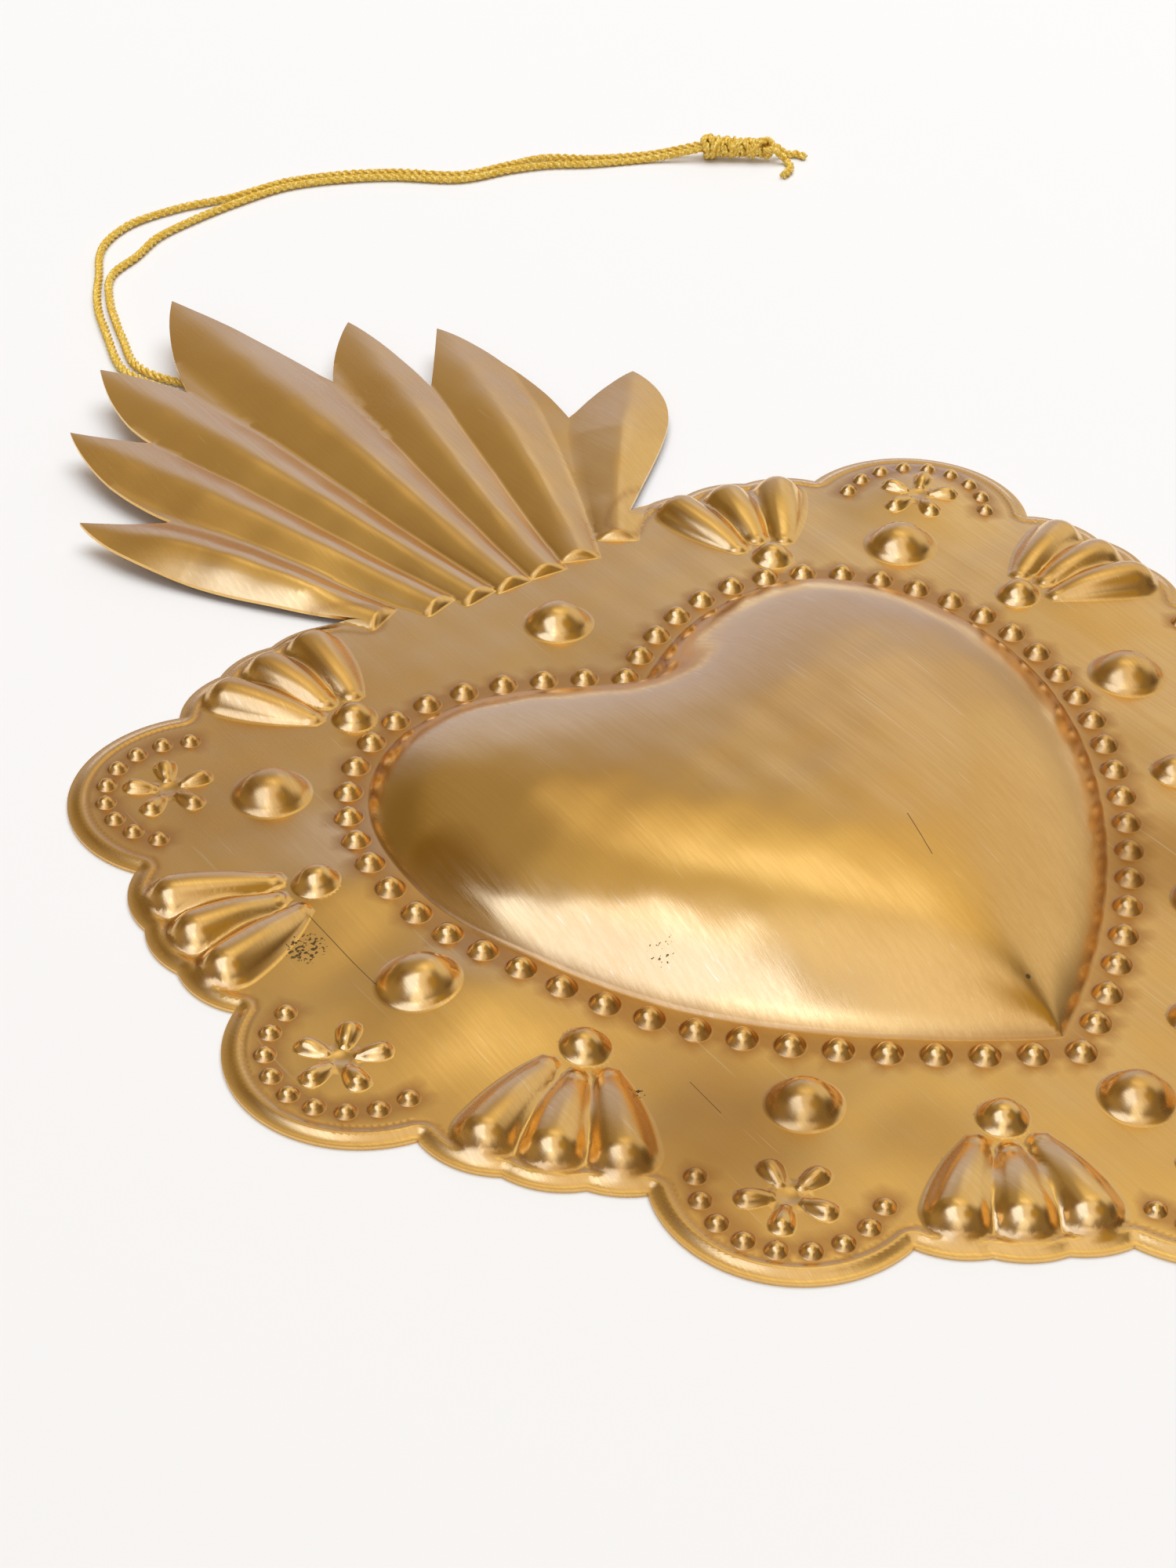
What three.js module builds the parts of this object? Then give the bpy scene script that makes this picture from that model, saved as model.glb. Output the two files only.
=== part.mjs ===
// Brass sacred heart: one pressed sheet with a scalloped border, a domed heart and a fluted flame,
// a wire eye soldered to its back, and a loop of gold twine that hangs it.
// Millimetres, +Z up. It lies face up, with +Y from the heart's tip to the flame's tip.
import * as THREE from 'three';

// Main sizes; places on the sheet are written as shares of its width and length, from the heart's centre
const SHEET_WIDTH = 161.2;
const SHEET_LENGTH = 242.6;

// Sheet and rolled rim
const SHEET_THICKNESS = 0.5;
const RIM_DROP = 0.45; // depth of the rolled rim below the face
const RIM_FOOT = 0.8; // flat strip along the cut edge, which the ornament lies on
const RIM_WIDTH = 1.75; // cut edge to face
const RIM_SLACK = 0.05; // reach of the rim beyond its cut edge
const FACE_HEIGHT = SHEET_THICKNESS + RIM_DROP;

// Heart line, which carries the beads: right half, from the cleft over the shoulder and flank to the tip
const CLEFT_Y = 0.1814 * SHEET_LENGTH;
const TIP_Y = -0.1814 * SHEET_LENGTH;
const SHOULDER = { x: 0.1501 * SHEET_WIDTH, y: 0.2214 * SHEET_LENGTH };
const FLANK = { x: 0.304 * SHEET_WIDTH, y: 0.0923 * SHEET_LENGTH };
const CLEFT_PULL = { x: 0.0434 * SHEET_WIDTH, y: 0.0206 * SHEET_LENGTH };
const TIP_PULL = { x: 0.1768 * SHEET_WIDTH, y: 0.0639 * SHEET_LENGTH };
const SHOULDER_PULL = { inner: 0.0571 * SHEET_WIDTH, outer: 0.0887 * SHEET_WIDTH };
const FLANK_PULL = { upper: 0.0705 * SHEET_LENGTH, lower: 0.0923 * SHEET_LENGTH };

// Beads and dome
const BEADS_PER_SIDE = 28;
const BEAD_DIAMETER = 3.4;
const BEAD_HEIGHT = 1.5;
const DOME_INSET = 2.7; // bead line to dome edge
const DOME_CROWN = 9.6; // rise of the broad crown
const DOME_STEP = 0.9; // rise of the steep shoulder at the dome's edge
const DOME_STEP_WIDTH = 2.2;
const DOME_TRIM = 0.7; // the moved line is cut this far from the axis

// Border lobes: round outline with its radius as a share of the width, direction of the outer end in degrees,
// and the boss at the inner end
const LOBES = [
  { at: [0.3575, 0.2235], radius: 0.1035, aim: 39, bossAt: [0.3151, 0.2003], bossDiameter: 9.4 },
  { at: [0.3982, 0.0115], radius: 0.1021, aim: -12, bossAt: [0.3412, 0.0289], bossDiameter: 9.4 },
  { at: [0.232, -0.1656], radius: 0.0987, aim: -43, bossAt: [0.1886, -0.1356], bossDiameter: 8.2 },
  { at: [0, -0.2593], radius: 0.0993, aim: -90, bossAt: [0, -0.2181], bossDiameter: 8.2 },
].map(({ at, radius, bossAt, ...rest }) => ({
  ...rest, ...onSheet(at), radius: radius * SHEET_WIDTH, boss: onSheet(bossAt),
}));
const CROWN_BOSS = { ...onSheet([0, 0.2465]), diameter: 8.8 };
const BOSS_HEIGHT = 3;
const DOTS_PER_LOBE = 9;
const DOT_STEP = 20.3; // degrees
const DOT_RING_RADIUS = 10.2;
const DOT_RING_OFFSET = 1.8;
const DOT_DIAMETER = 2.4;
const DOT_HEIGHT = 1;
const FLOWER_PETALS = 5;
const FLOWER_OFFSET = 4.1;
const FLOWER_PETAL = { inner: 1.9, outer: 4.4, innerRadius: 0.9, outerRadius: 1.5, height: 1.2 };

// Shells between the lobes: small boss, direction in degrees, and reach to the cut edge in widths
const SHELLS = [
  { at: [0.2115, 0.2329], aim: 76, reach: 0.1337 },
  { at: [0.3449, 0.1204], aim: 3, reach: 0.1322 },
  { at: [0.2792, -0.0503], aim: -43, reach: 0.1339 },
  { at: [0.0881, -0.1937], aim: -57.5, reach: 0.1253 },
].map(({ at, aim, reach }) => ({ ...onSheet(at), aim, reach: reach * SHEET_WIDTH }));
const SHELL_BOSS = { diameter: 5.6, height: 2.2 };
const SCALLOP_RADIUS = 0.0686 * SHEET_WIDTH;
const SCALLOP_SPREAD = 34.8; // degrees between neighbouring scallops' centres, seen from the boss
const SCALLOP_SIDE_REACH = 1.3; // extra reach of the two side scallops
const SHELL_PETAL = {
  start: 5.4, startSpread: 42, spread: 26, innerRadius: 2, outerRadius: 3.9, height: 2.6,
};
const PETAL_MARGIN = 0.3; // petal's outer end to the inner edge of the rim

// How each kind of mark meets the face, crisp below 1 and soft above, and how a petal sinks towards its
// thin end
const MARK_ROUND = 2.4; // flatness of a mark's top
const BEAD_FOOT = 1;
const PETAL_FOOT = 1.3;
const BOSS_FOOT = 1.15;
const ROOT_FADE = 1.2;

// Flame: each tongue's nose at the root, ridge bend, half width as a share of the sheet's, edge bends, tip,
// and the notch after it
const CORNER_BEARING = 140; // degrees, where the flame's edge leaves the first scallop
const FLAME_ROOT = 0.3092 * SHEET_LENGTH;
const FLAME_BEND = 10; // length of the gentle bend at the root
const FLAME_TILT = 2.9; // degrees, lift of the flame off the heart's plane
const FLUTE_SLOPE = 0.38; // height as a share of the half width
const FLUTE_FADE = 0.6; // share of that height lost at the tip
const FLUTE_ROUND = 0.3; // share of the half width that the ridge is rounded over
const FLUTE_ROOT_HALF = 3;
const FLUTE_WIDEST = 0.6; // share of the ridge length
const FLAMES = [
  { nose: [-0.121, 0.3092], bend: [-0.183, 0.3895], half: 0.0372, rise: [[-0.2792, 0.4233]],
    tip: [-0.2705, 0.4786], fall: [[-0.2233, 0.4505]], notch: [-0.1985, 0.4559] },
  { nose: [-0.0695, 0.3021], bend: [-0.1259, 0.4138], half: 0.0372, rise: [[-0.2339, 0.5173]],
    tip: [-0.2122, 0.5688], fall: [[-0.1836, 0.5433]], notch: [-0.1532, 0.5375] },
  { nose: [-0.0329, 0.298], bend: [-0.0757, 0.4287], half: 0.0385, rise: [[-0.1669, 0.5771]],
    tip: [-0.139, 0.6249], fall: [[-0.1017, 0.5948]], notch: [-0.0844, 0.5767] },
  { nose: [0.0012, 0.2968], bend: [-0.0043, 0.4369], half: 0.0509, rise: [[-0.0645, 0.6356]],
    tip: [-0.0223, 0.6748], fall: [[0.0155, 0.6051]], notch: [0.0416, 0.5408] },
  { nose: [0.036, 0.2968], bend: [0.0533, 0.4122], half: 0.0372, rise: [[0.0651, 0.5705]],
    tip: [0.1061, 0.594], fall: [[0.1185, 0.5486]], notch: [0.1141, 0.5016] },
  { nose: [0.0732, 0.2984], bend: [0.1191, 0.3809], half: 0.0409, rise: [[0.1421, 0.5264]],
    tip: [0.1725, 0.5561], fall: [[0.2134, 0.4979]], notch: [0.1954, 0.4266] },
  { nose: [0.1203, 0.3034], bend: [0.1799, 0.3636], half: 0.0459, rise: [[0.2357, 0.4382]],
    tip: [0.2885, 0.4452], fall: [[0.3102, 0.3916], [0.2357, 0.371]] },
].map(({ nose, bend, half, rise, tip, fall, notch }) => ({
  ridge: [nose, bend, tip].map(onSheet),
  half: half * SHEET_WIDTH,
  rise: [...rise, tip].map(onSheet),
  fall: (notch ? [...fall, notch] : fall).map(onSheet),
}));

// Hanging eye and its solder
const EYE_WIRE = 1.6;
const EYE_SPAN = 6; // leg to leg, on the wire's centre line
const EYE_Y = 0.4988 * SHEET_LENGTH;
const EYE_FLAME = 3; // the flame that carries it, counted from 0 at the left
const EYE_FLOOR_GAP = 0.3; // eye to the surface that the ornament lies on
const SOLDER_DIAMETER = 3.6;
const SOLDER_HEIGHT = 1.1;
const SEAT_GAP = 0.35;

// Cord, laid double on the surface from the eye to the knot
const CORD_DIAMETER = 1.4;
const CORD_LIFT = 0.05; // cord to surface
const OUTER_STRAND = [
  [0.6073, 0.7246], [0.5496, 0.7428], [0.5074, 0.7634], [0.464, 0.7679], [0.4094, 0.7737],
  [0.3511, 0.805], [0.3027, 0.8228], [0.2413, 0.8355], [0.1743, 0.8351], [0.1135, 0.8409],
  [0.0521, 0.8368], [0.005, 0.8162], [-0.0273, 0.7795], [-0.0571, 0.7424], [-0.0819, 0.6937],
  [-0.0986, 0.6488], [-0.0844, 0.6134], [-0.0596, 0.5709], [-0.0496, 0.5342], [-0.0347, 0.5066],
].map(onSheet);
const INNER_STRAND = [
  [0.0223, 0.5012], [0.0385, 0.5177], [0.0223, 0.5458], [-0.0285, 0.5837], [-0.067, 0.6158],
  [-0.0844, 0.648], [-0.0682, 0.6921], [-0.0447, 0.7399], [-0.0167, 0.7737], [0.0242, 0.7898],
  [0.0639, 0.8079], [0.1172, 0.8186], [0.1743, 0.8256], [0.237, 0.8281], [0.2965, 0.8157],
  [0.3437, 0.7984], [0.402, 0.7675], [0.4615, 0.7601], [0.5025, 0.751], [0.5409, 0.7358],
  [0.6011, 0.7185],
].map(onSheet);
const EYE_CLIMB = 26; // how far from the eye the cord starts to rise towards it
const STRAND_OFFSET = 0.95; // each strand from the pair's centre line, at the knot
const KNOT = { ...onSheet([0.6886, 0.6851]), bearing: -39, length: 12, diameter: 4.6, waist: 3.6 };
const KNOT_TURNS = [[-0.6, -0.3], [0.35, 0.7]]; // start and end of its two turns, in half lengths
const TAILS = [ // reach from the knot's far end, in cord diameters
  { name: 'cord_tail_front', side: -1, reach: [[1.7, -0.5], [2.1, -3], [1.3, -4.7]] },
  { name: 'cord_tail_rear', side: 1, reach: [[1.6, 0.3], [2.9, 0.4], [4, -0.3]] },
];

// Facets of the sheet: lengths along its edges, points round each mark, and least gaps between points
const EDGE_STEP = 3;
const SCALLOP_STEP = 2.4;
const POINT_GAP = 0.5;
const BOSS_SIDES = 10;
const BEAD_SIDES = 6;
const DOT_SIDES = 5;
const MARK_RING = 0.55; // share of the radius at which a boss or bead has its inner points
const PETAL_END_TURNS = [-100, -35, 35, 100]; // degrees from the petal's direction
const PETAL_START_TURNS = [-120, 120];
const DOME_POINTS = 64;
const DOME_RINGS = [0.09, 0.28, 0.55, 0.92]; // shares of the way from the dome's edge to its centre
const DOME_GAP = 2.4;
const FLUTE_POINTS = 11;
const FLUTE_OFFSETS = [0, -0.55, 0.55, -1, 1]; // shares of the half width
const FLUTE_NOSE_TURNS = [-90, -45, 0, 45, 90]; // degrees from the nose's direction
const FLUTE_GAP = 1.9;
const RIDGE_STEPS = 24;
const FACE_STEP = 9;
const FACE_GAP = 5.4;
const SPLIT_ROUNDS = 12;

// Facets of the wire, solder and cord
const EYE_SIDES = 10;
const EYE_STEPS = 24;
const EYE_BOW_POINTS = 8;
const SOLDER_SIDES = 14;
const CORD_SIDES = 8;
const CORD_STEPS = 80;
const TAIL_STEPS = 8;
const KNOT_SIDES = 12;
const LENGTH_SAMPLES = 12; // samples of a route's length for each step of its tube

const CLOSE = 1e-9;
const NUDGE = 1e-4; // settles which triangles join four points on one circle

const radians = THREE.MathUtils.degToRad;
const lerp = THREE.MathUtils.lerp;
const clamp = THREE.MathUtils.clamp;

function onSheet([across, along]) {
  return { x: across * SHEET_WIDTH, y: along * SHEET_LENGTH };
}

function polar(centre, distance, degrees) {
  const turn = radians(degrees);
  return { x: centre.x + distance * Math.cos(turn), y: centre.y + distance * Math.sin(turn) };
}

function bearingOf(x, y) {
  return THREE.MathUtils.radToDeg(Math.atan2(y, x));
}

function mirrored(items) {
  return items.map((item) => ({ ...item, x: -item.x }));
}

// Nearest place to p on a polyline: distance, and share of the way along it
function nearestOn(line, p) {
  let best = Infinity;
  let share = 0;
  for (let i = 0; i + 1 < line.length; i += 1) {
    const a = line[i];
    const dx = line[i + 1].x - a.x;
    const dy = line[i + 1].y - a.y;
    const t = clamp(((p.x - a.x) * dx + (p.y - a.y) * dy) / (dx * dx + dy * dy + CLOSE), 0, 1);
    const distance = Math.hypot(p.x - a.x - t * dx, p.y - a.y - t * dy);
    if (distance < best) {
      best = distance;
      share = (i + t) / (line.length - 1);
    }
  }
  return { distance: best, share };
}

function isInside(loop, p) {
  let inside = false;
  for (let i = 0, j = loop.length - 1; i < loop.length; j = i, i += 1) {
    const a = loop[i];
    const b = loop[j];
    const spans = a.y > p.y !== b.y > p.y;
    if (spans && p.x < ((b.x - a.x) * (p.y - a.y)) / (b.y - a.y) + a.x) inside = !inside;
  }
  return inside;
}

// Heart line
const heartHalf = new THREE.Path();
heartHalf.moveTo(0, CLEFT_Y);
heartHalf.bezierCurveTo(
  CLEFT_PULL.x, CLEFT_Y + CLEFT_PULL.y,
  SHOULDER.x - SHOULDER_PULL.inner, SHOULDER.y,
  SHOULDER.x, SHOULDER.y,
);
heartHalf.bezierCurveTo(
  SHOULDER.x + SHOULDER_PULL.outer, SHOULDER.y,
  FLANK.x, FLANK.y + FLANK_PULL.upper,
  FLANK.x, FLANK.y,
);
heartHalf.bezierCurveTo(FLANK.x, FLANK.y - FLANK_PULL.lower, TIP_PULL.x, TIP_Y + TIP_PULL.y, 0, TIP_Y);

function beadCentres() {
  const half = heartHalf.getSpacedPoints(BEADS_PER_SIDE + 1);
  return [...half, ...mirrored(half.slice(1, -1))];
}

// Dome edge: the heart line moved inwards, trimmed where its halves cross the axis
function domeEdge() {
  const half = heartHalf.getSpacedPoints(DOME_POINTS / 2);
  const inner = [];
  for (let i = 0; i < half.length; i += 1) {
    const before = half[Math.max(i - 1, 0)];
    const after = half[Math.min(i + 1, half.length - 1)];
    const length = Math.hypot(after.x - before.x, after.y - before.y);
    const x = half[i].x + (DOME_INSET * (after.y - before.y)) / length;
    const y = half[i].y - (DOME_INSET * (after.x - before.x)) / length;
    if (x > DOME_TRIM) inner.push({ x, y });
  }
  const last = inner.at(-1);
  const previous = inner.at(-2);
  const slope = (last.y - previous.y) / (last.x - previous.x);
  const point = { x: 0, y: last.y - slope * last.x };
  return [...inner, point, ...mirrored(inner).reverse()];
}

const domeLoop = domeEdge();
const domeCentre = { x: 0, y: (SHOULDER.y + TIP_Y) / 2 };

// Smooth distance to the dome's edge: true close to it, and without creases further in
function domeDepth(p) {
  let sum = 0;
  for (let i = 0; i < domeLoop.length; i += 1) {
    const a = domeLoop[i];
    const b = domeLoop[(i + 1) % domeLoop.length];
    const length = Math.hypot(b.x - a.x, b.y - a.y);
    const ux = (b.x - a.x) / length;
    const uy = (b.y - a.y) / length;
    const from = (a.x - p.x) * ux + (a.y - p.y) * uy;
    const off = (a.x - p.x) * uy - (a.y - p.y) * ux;
    const off2 = off * off + CLOSE;
    const to = from + length;
    sum += (to / Math.sqrt(off2 + to * to) - from / Math.sqrt(off2 + from * from)) / off2;
  }
  return Math.sqrt(2 / sum);
}

const domeDeepest = domeDepth(domeCentre);

function domeRise(p) {
  if (!isInside(domeLoop, p)) return 0;
  const depth = domeDepth(p);
  const rest = 1 - Math.min(depth / domeDeepest, 1);
  return DOME_CROWN * (1 - rest * rest) + DOME_STEP * (1 - Math.exp(-depth / DOME_STEP_WIDTH));
}

// Border: a chain of circles, three scallops and a lobe in turn, run clockwise from the right corner
function scallop(shell, side) {
  const reach = shell.reach - SCALLOP_RADIUS + Math.abs(side) * SCALLOP_SIDE_REACH;
  return { ...polar(shell, reach, shell.aim + side * SCALLOP_SPREAD), radius: SCALLOP_RADIUS };
}

function borderCircles() {
  const right = [];
  SHELLS.forEach((shell, i) => {
    [1, 0, -1].forEach((side) => right.push(scallop(shell, side)));
    right.push(LOBES[i]);
  });
  return [...right, ...mirrored(right.slice(0, -1)).reverse()];
}

// Where the outline passes from circle a to circle b: their outer crossing, or the gap between them
function crossing(a, b, inset) {
  const ra = a.radius - inset;
  const rb = b.radius - inset;
  const gap = Math.hypot(b.x - a.x, b.y - a.y);
  const ux = (b.x - a.x) / gap;
  const uy = (b.y - a.y) / gap;
  const along = gap < ra + rb ? (gap * gap + ra * ra - rb * rb) / (2 * gap) : ra;
  const out = Math.sqrt(Math.max(ra * ra - along * along, 0));
  const leave = { x: a.x + ux * along - uy * out, y: a.y + uy * along + ux * out };
  const meet = gap < ra + rb ? leave : { x: b.x - ux * rb, y: b.y - uy * rb };
  return { leave, meet };
}

function borderLine(inset) {
  const circles = borderCircles();
  const first = circles[0];
  const last = circles.at(-1);
  const start = polar(first, first.radius - inset, CORNER_BEARING);
  const end = polar(last, last.radius - inset, 180 - CORNER_BEARING);
  const line = [start];
  circles.forEach((circle, i) => {
    const before = i === 0 ? start : crossing(circles[i - 1], circle, inset).meet;
    const after = i === circles.length - 1 ? end : crossing(circle, circles[i + 1], inset).leave;
    const from = Math.atan2(before.y - circle.y, before.x - circle.x);
    let turn = from - Math.atan2(after.y - circle.y, after.x - circle.x);
    if (turn < 0) turn += 2 * Math.PI;
    const radius = circle.radius - inset;
    const step = circle.radius > SCALLOP_RADIUS ? EDGE_STEP : SCALLOP_STEP;
    const count = Math.max(Math.round((turn * radius) / step), 1);
    if (i > 0) line.push(before);
    for (let k = 1; k <= count; k += 1) {
      const angle = from - (turn * k) / count;
      line.push({ x: circle.x + radius * Math.cos(angle), y: circle.y + radius * Math.sin(angle) });
    }
  });
  return line.filter((p, i) => i === 0 || Math.hypot(p.x - line[i - 1].x, p.y - line[i - 1].y) > CLOSE);
}

// Flame outline, from the left corner over the seven tips to the right corner
function curveTo(path, points) {
  const values = points.flatMap(({ x, y }) => [x, y]);
  if (points.length === 3) path.bezierCurveTo(...values);
  else path.quadraticCurveTo(...values);
}

function flameLine(left, right) {
  const path = new THREE.Path();
  path.moveTo(left.x, left.y);
  FLAMES.forEach(({ rise, fall }, i) => {
    curveTo(path, rise);
    curveTo(path, i + 1 < FLAMES.length ? fall : [...fall, right]);
  });
  return path.curves.flatMap((curve) => {
    const count = Math.ceil(curve.getLength() / EDGE_STEP);
    return curve.getSpacedPoints(count).slice(1);
  });
}

const border = borderLine(0);
const outline = [...border, ...flameLine(border.at(-1), border[0]).slice(0, -1)];

// Punched marks: a tapered round-ended bump from a to b, with the radius at each end
function roundMark(centre, diameter, height, sides) {
  const radius = diameter / 2;
  const foot = sides === BOSS_SIDES ? BOSS_FOOT : BEAD_FOOT;
  return { a: centre, b: centre, aRadius: radius, bRadius: radius, height, sides, foot };
}

function lobeMarks(lobe) {
  const marks = [roundMark(lobe.boss, lobe.bossDiameter, BOSS_HEIGHT, BOSS_SIDES)];
  const ring = polar(lobe, DOT_RING_OFFSET, lobe.aim);
  for (let i = 0; i < DOTS_PER_LOBE; i += 1) {
    const bearing = lobe.aim + (i - (DOTS_PER_LOBE - 1) / 2) * DOT_STEP;
    marks.push(roundMark(polar(ring, DOT_RING_RADIUS, bearing), DOT_DIAMETER, DOT_HEIGHT, DOT_SIDES));
  }
  const flower = polar(lobe, FLOWER_OFFSET, lobe.aim);
  for (let i = 0; i < FLOWER_PETALS; i += 1) {
    const bearing = lobe.aim + (360 / FLOWER_PETALS) * i;
    marks.push({
      a: polar(flower, FLOWER_PETAL.inner, bearing),
      b: polar(flower, FLOWER_PETAL.outer, bearing),
      aRadius: FLOWER_PETAL.innerRadius,
      bRadius: FLOWER_PETAL.outerRadius,
      height: FLOWER_PETAL.height,
      foot: PETAL_FOOT,
    });
  }
  return marks;
}

function shellMarks(shell) {
  const marks = [roundMark(shell, SHELL_BOSS.diameter, SHELL_BOSS.height, BOSS_SIDES)];
  for (const side of [-1, 0, 1]) {
    const end = scallop(shell, side);
    const edge = Math.hypot(end.x - shell.x, end.y - shell.y) + SCALLOP_RADIUS;
    const outer = edge - RIM_WIDTH - PETAL_MARGIN - SHELL_PETAL.outerRadius;
    marks.push({
      a: polar(shell, SHELL_PETAL.start, shell.aim + side * SHELL_PETAL.startSpread),
      b: polar(shell, outer, shell.aim + side * SHELL_PETAL.spread),
      aRadius: SHELL_PETAL.innerRadius,
      bRadius: SHELL_PETAL.outerRadius,
      height: SHELL_PETAL.height,
      foot: PETAL_FOOT,
    });
  }
  return marks;
}

function mirrorMark(mark) {
  return { ...mark, a: { x: -mark.a.x, y: mark.a.y }, b: { x: -mark.b.x, y: mark.b.y } };
}

function allMarks() {
  const beads = beadCentres().map((centre) => roundMark(centre, BEAD_DIAMETER, BEAD_HEIGHT, BEAD_SIDES));
  const tipLobe = LOBES.at(-1);
  const right = [...LOBES.slice(0, -1).flatMap(lobeMarks), ...SHELLS.flatMap(shellMarks)];
  const axis = [...lobeMarks(tipLobe), roundMark(CROWN_BOSS, CROWN_BOSS.diameter, BOSS_HEIGHT, BOSS_SIDES)];
  return [...beads, ...right, ...right.map(mirrorMark), ...axis];
}

const marks = allMarks();

function markRise(mark, p) {
  const dx = mark.b.x - mark.a.x;
  const dy = mark.b.y - mark.a.y;
  const along = (p.x - mark.a.x) * dx + (p.y - mark.a.y) * dy;
  const t = clamp(along / (dx * dx + dy * dy + CLOSE), 0, 1);
  const distance = Math.hypot(p.x - mark.a.x - t * dx, p.y - mark.a.y - t * dy);
  const radius = lerp(mark.aRadius, mark.bRadius, t);
  const round = Math.max(1 - (distance / radius) ** MARK_ROUND, 0);
  return mark.height * (radius / mark.bRadius) ** ROOT_FADE * round ** mark.foot;
}

// Flutes: a ridge from each nose to its tip, widest part of the way along
const ridges = FLAMES.map(({ ridge, half }) => {
  const curve = new THREE.QuadraticBezierCurve(...ridge.map(({ x, y }) => new THREE.Vector2(x, y)));
  return { curve, half, line: curve.getSpacedPoints(RIDGE_STEPS) };
});

function ridgeHalf(ridge, share) {
  return lerp(FLUTE_ROOT_HALF, ridge.half, Math.min(share / FLUTE_WIDEST, 1));
}

function fluteRise(p) {
  let rise = 0;
  for (const ridge of ridges) {
    const { distance, share } = nearestOn(ridge.line, p);
    const half = ridgeHalf(ridge, share);
    const off = Math.hypot(distance / half, FLUTE_ROUND) - FLUTE_ROUND;
    const fall = off / (Math.hypot(1, FLUTE_ROUND) - FLUTE_ROUND);
    rise = Math.max(rise, FLUTE_SLOPE * half * (1 - FLUTE_FADE * share * share) * (1 - fall));
  }
  return rise;
}

function flameLift(y) {
  const bent = clamp((y - FLAME_ROOT) / FLAME_BEND, 0, 1);
  const straight = Math.max(y - FLAME_ROOT - FLAME_BEND, 0);
  return Math.tan(radians(FLAME_TILT)) * ((FLAME_BEND * bent * bent) / 2 + straight);
}

function rimSink(p) {
  const { distance } = nearestOn(border, p);
  if (distance > RIM_SLACK && !isInside(border, p)) return 0;
  return RIM_DROP * (1 - clamp((distance - RIM_FOOT) / (RIM_WIDTH - RIM_FOOT), 0, 1));
}

// Height of the sheet's face above the surface that it lies on
function relief(p) {
  const punched = marks.reduce((sum, mark) => sum + markRise(mark, p), 0);
  return FACE_HEIGHT - rimSink(p) + flameLift(p.y) + domeRise(p) + fluteRise(p) + punched;
}

// Points of the sheet: outline first, then every feature, then the plain face between them
function sheetPoints() {
  const points = outline.map(({ x, y }) => ({ x, y }));
  const place = (p, gap) => {
    const crowded = points.some((q) => Math.abs(q.x - p.x) < gap && Math.hypot(q.x - p.x, q.y - p.y) < gap);
    if (!crowded && isInside(outline, p)) points.push({ x: p.x, y: p.y });
  };
  const placeFan = (centre, radius, bearing, turns) => {
    turns.forEach((turn) => place(polar(centre, radius, bearing + turn), POINT_GAP));
  };
  borderLine(RIM_FOOT).forEach((p) => place(p, POINT_GAP));
  borderLine(RIM_WIDTH).forEach((p) => place(p, POINT_GAP));
  marks.forEach(({ a, b, aRadius, bRadius, sides }) => {
    place(b, POINT_GAP);
    if (sides) {
      const turns = Array.from({ length: sides }, (unused, i) => (360 * i) / sides);
      if (sides > DOT_SIDES) placeFan(b, bRadius * MARK_RING, 0, turns.filter((turn, i) => i % 2 === 0));
      placeFan(b, bRadius, 0, turns);
    } else {
      const bearing = bearingOf(b.x - a.x, b.y - a.y);
      place({ x: (a.x + b.x) / 2, y: (a.y + b.y) / 2 }, POINT_GAP);
      placeFan(b, bRadius, bearing, PETAL_END_TURNS);
      placeFan(a, aRadius, bearing, PETAL_START_TURNS);
    }
  });
  domeLoop.forEach((p) => place(p, POINT_GAP));
  DOME_RINGS.forEach((ring, i) => {
    domeLoop.filter((p, k) => k % 2 ** i === 0).forEach((p) => {
      place({ x: lerp(p.x, domeCentre.x, ring), y: lerp(p.y, domeCentre.y, ring) }, DOME_GAP);
    });
  });
  ridges.forEach((ridge) => {
    for (let i = 0; i <= FLUTE_POINTS; i += 1) {
      const share = i / FLUTE_POINTS;
      const centre = ridge.curve.getPointAt(share);
      const tangent = ridge.curve.getTangentAt(share);
      const half = ridgeHalf(ridge, share);
      FLUTE_OFFSETS.forEach((off) => {
        place({ x: centre.x - tangent.y * half * off, y: centre.y + tangent.x * half * off }, FLUTE_GAP);
      });
    }
    const tangent = ridge.curve.getTangentAt(0);
    placeFan(ridge.line[0], FLUTE_ROOT_HALF, bearingOf(-tangent.x, -tangent.y), FLUTE_NOSE_TURNS);
  });
  const box = new THREE.Box2().setFromPoints(outline.map((p) => new THREE.Vector2(p.x, p.y)));
  const rowStep = FACE_STEP * Math.sin(radians(60));
  for (let y = box.min.y, row = 0; y < box.max.y; y += rowStep, row += 1) {
    for (let x = box.min.x + ((row % 2) * FACE_STEP) / 2; x < box.max.x; x += FACE_STEP) {
      place({ x, y }, FACE_GAP);
    }
  }
  return points;
}

function circumscribed(points, i, j, k) {
  const a = points[i];
  const b = points[j];
  const c = points[k];
  const bx = b.x - a.x;
  const by = b.y - a.y;
  const cx = c.x - a.x;
  const cy = c.y - a.y;
  const twice = 2 * (bx * cy - by * cx);
  const x = (cy * (bx * bx + by * by) - by * (cx * cx + cy * cy)) / twice;
  const y = (bx * (cx * cx + cy * cy) - cx * (bx * bx + by * by)) / twice;
  return { corners: [i, j, k], x: a.x + x, y: a.y + y, reach2: x * x + y * y };
}

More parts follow.
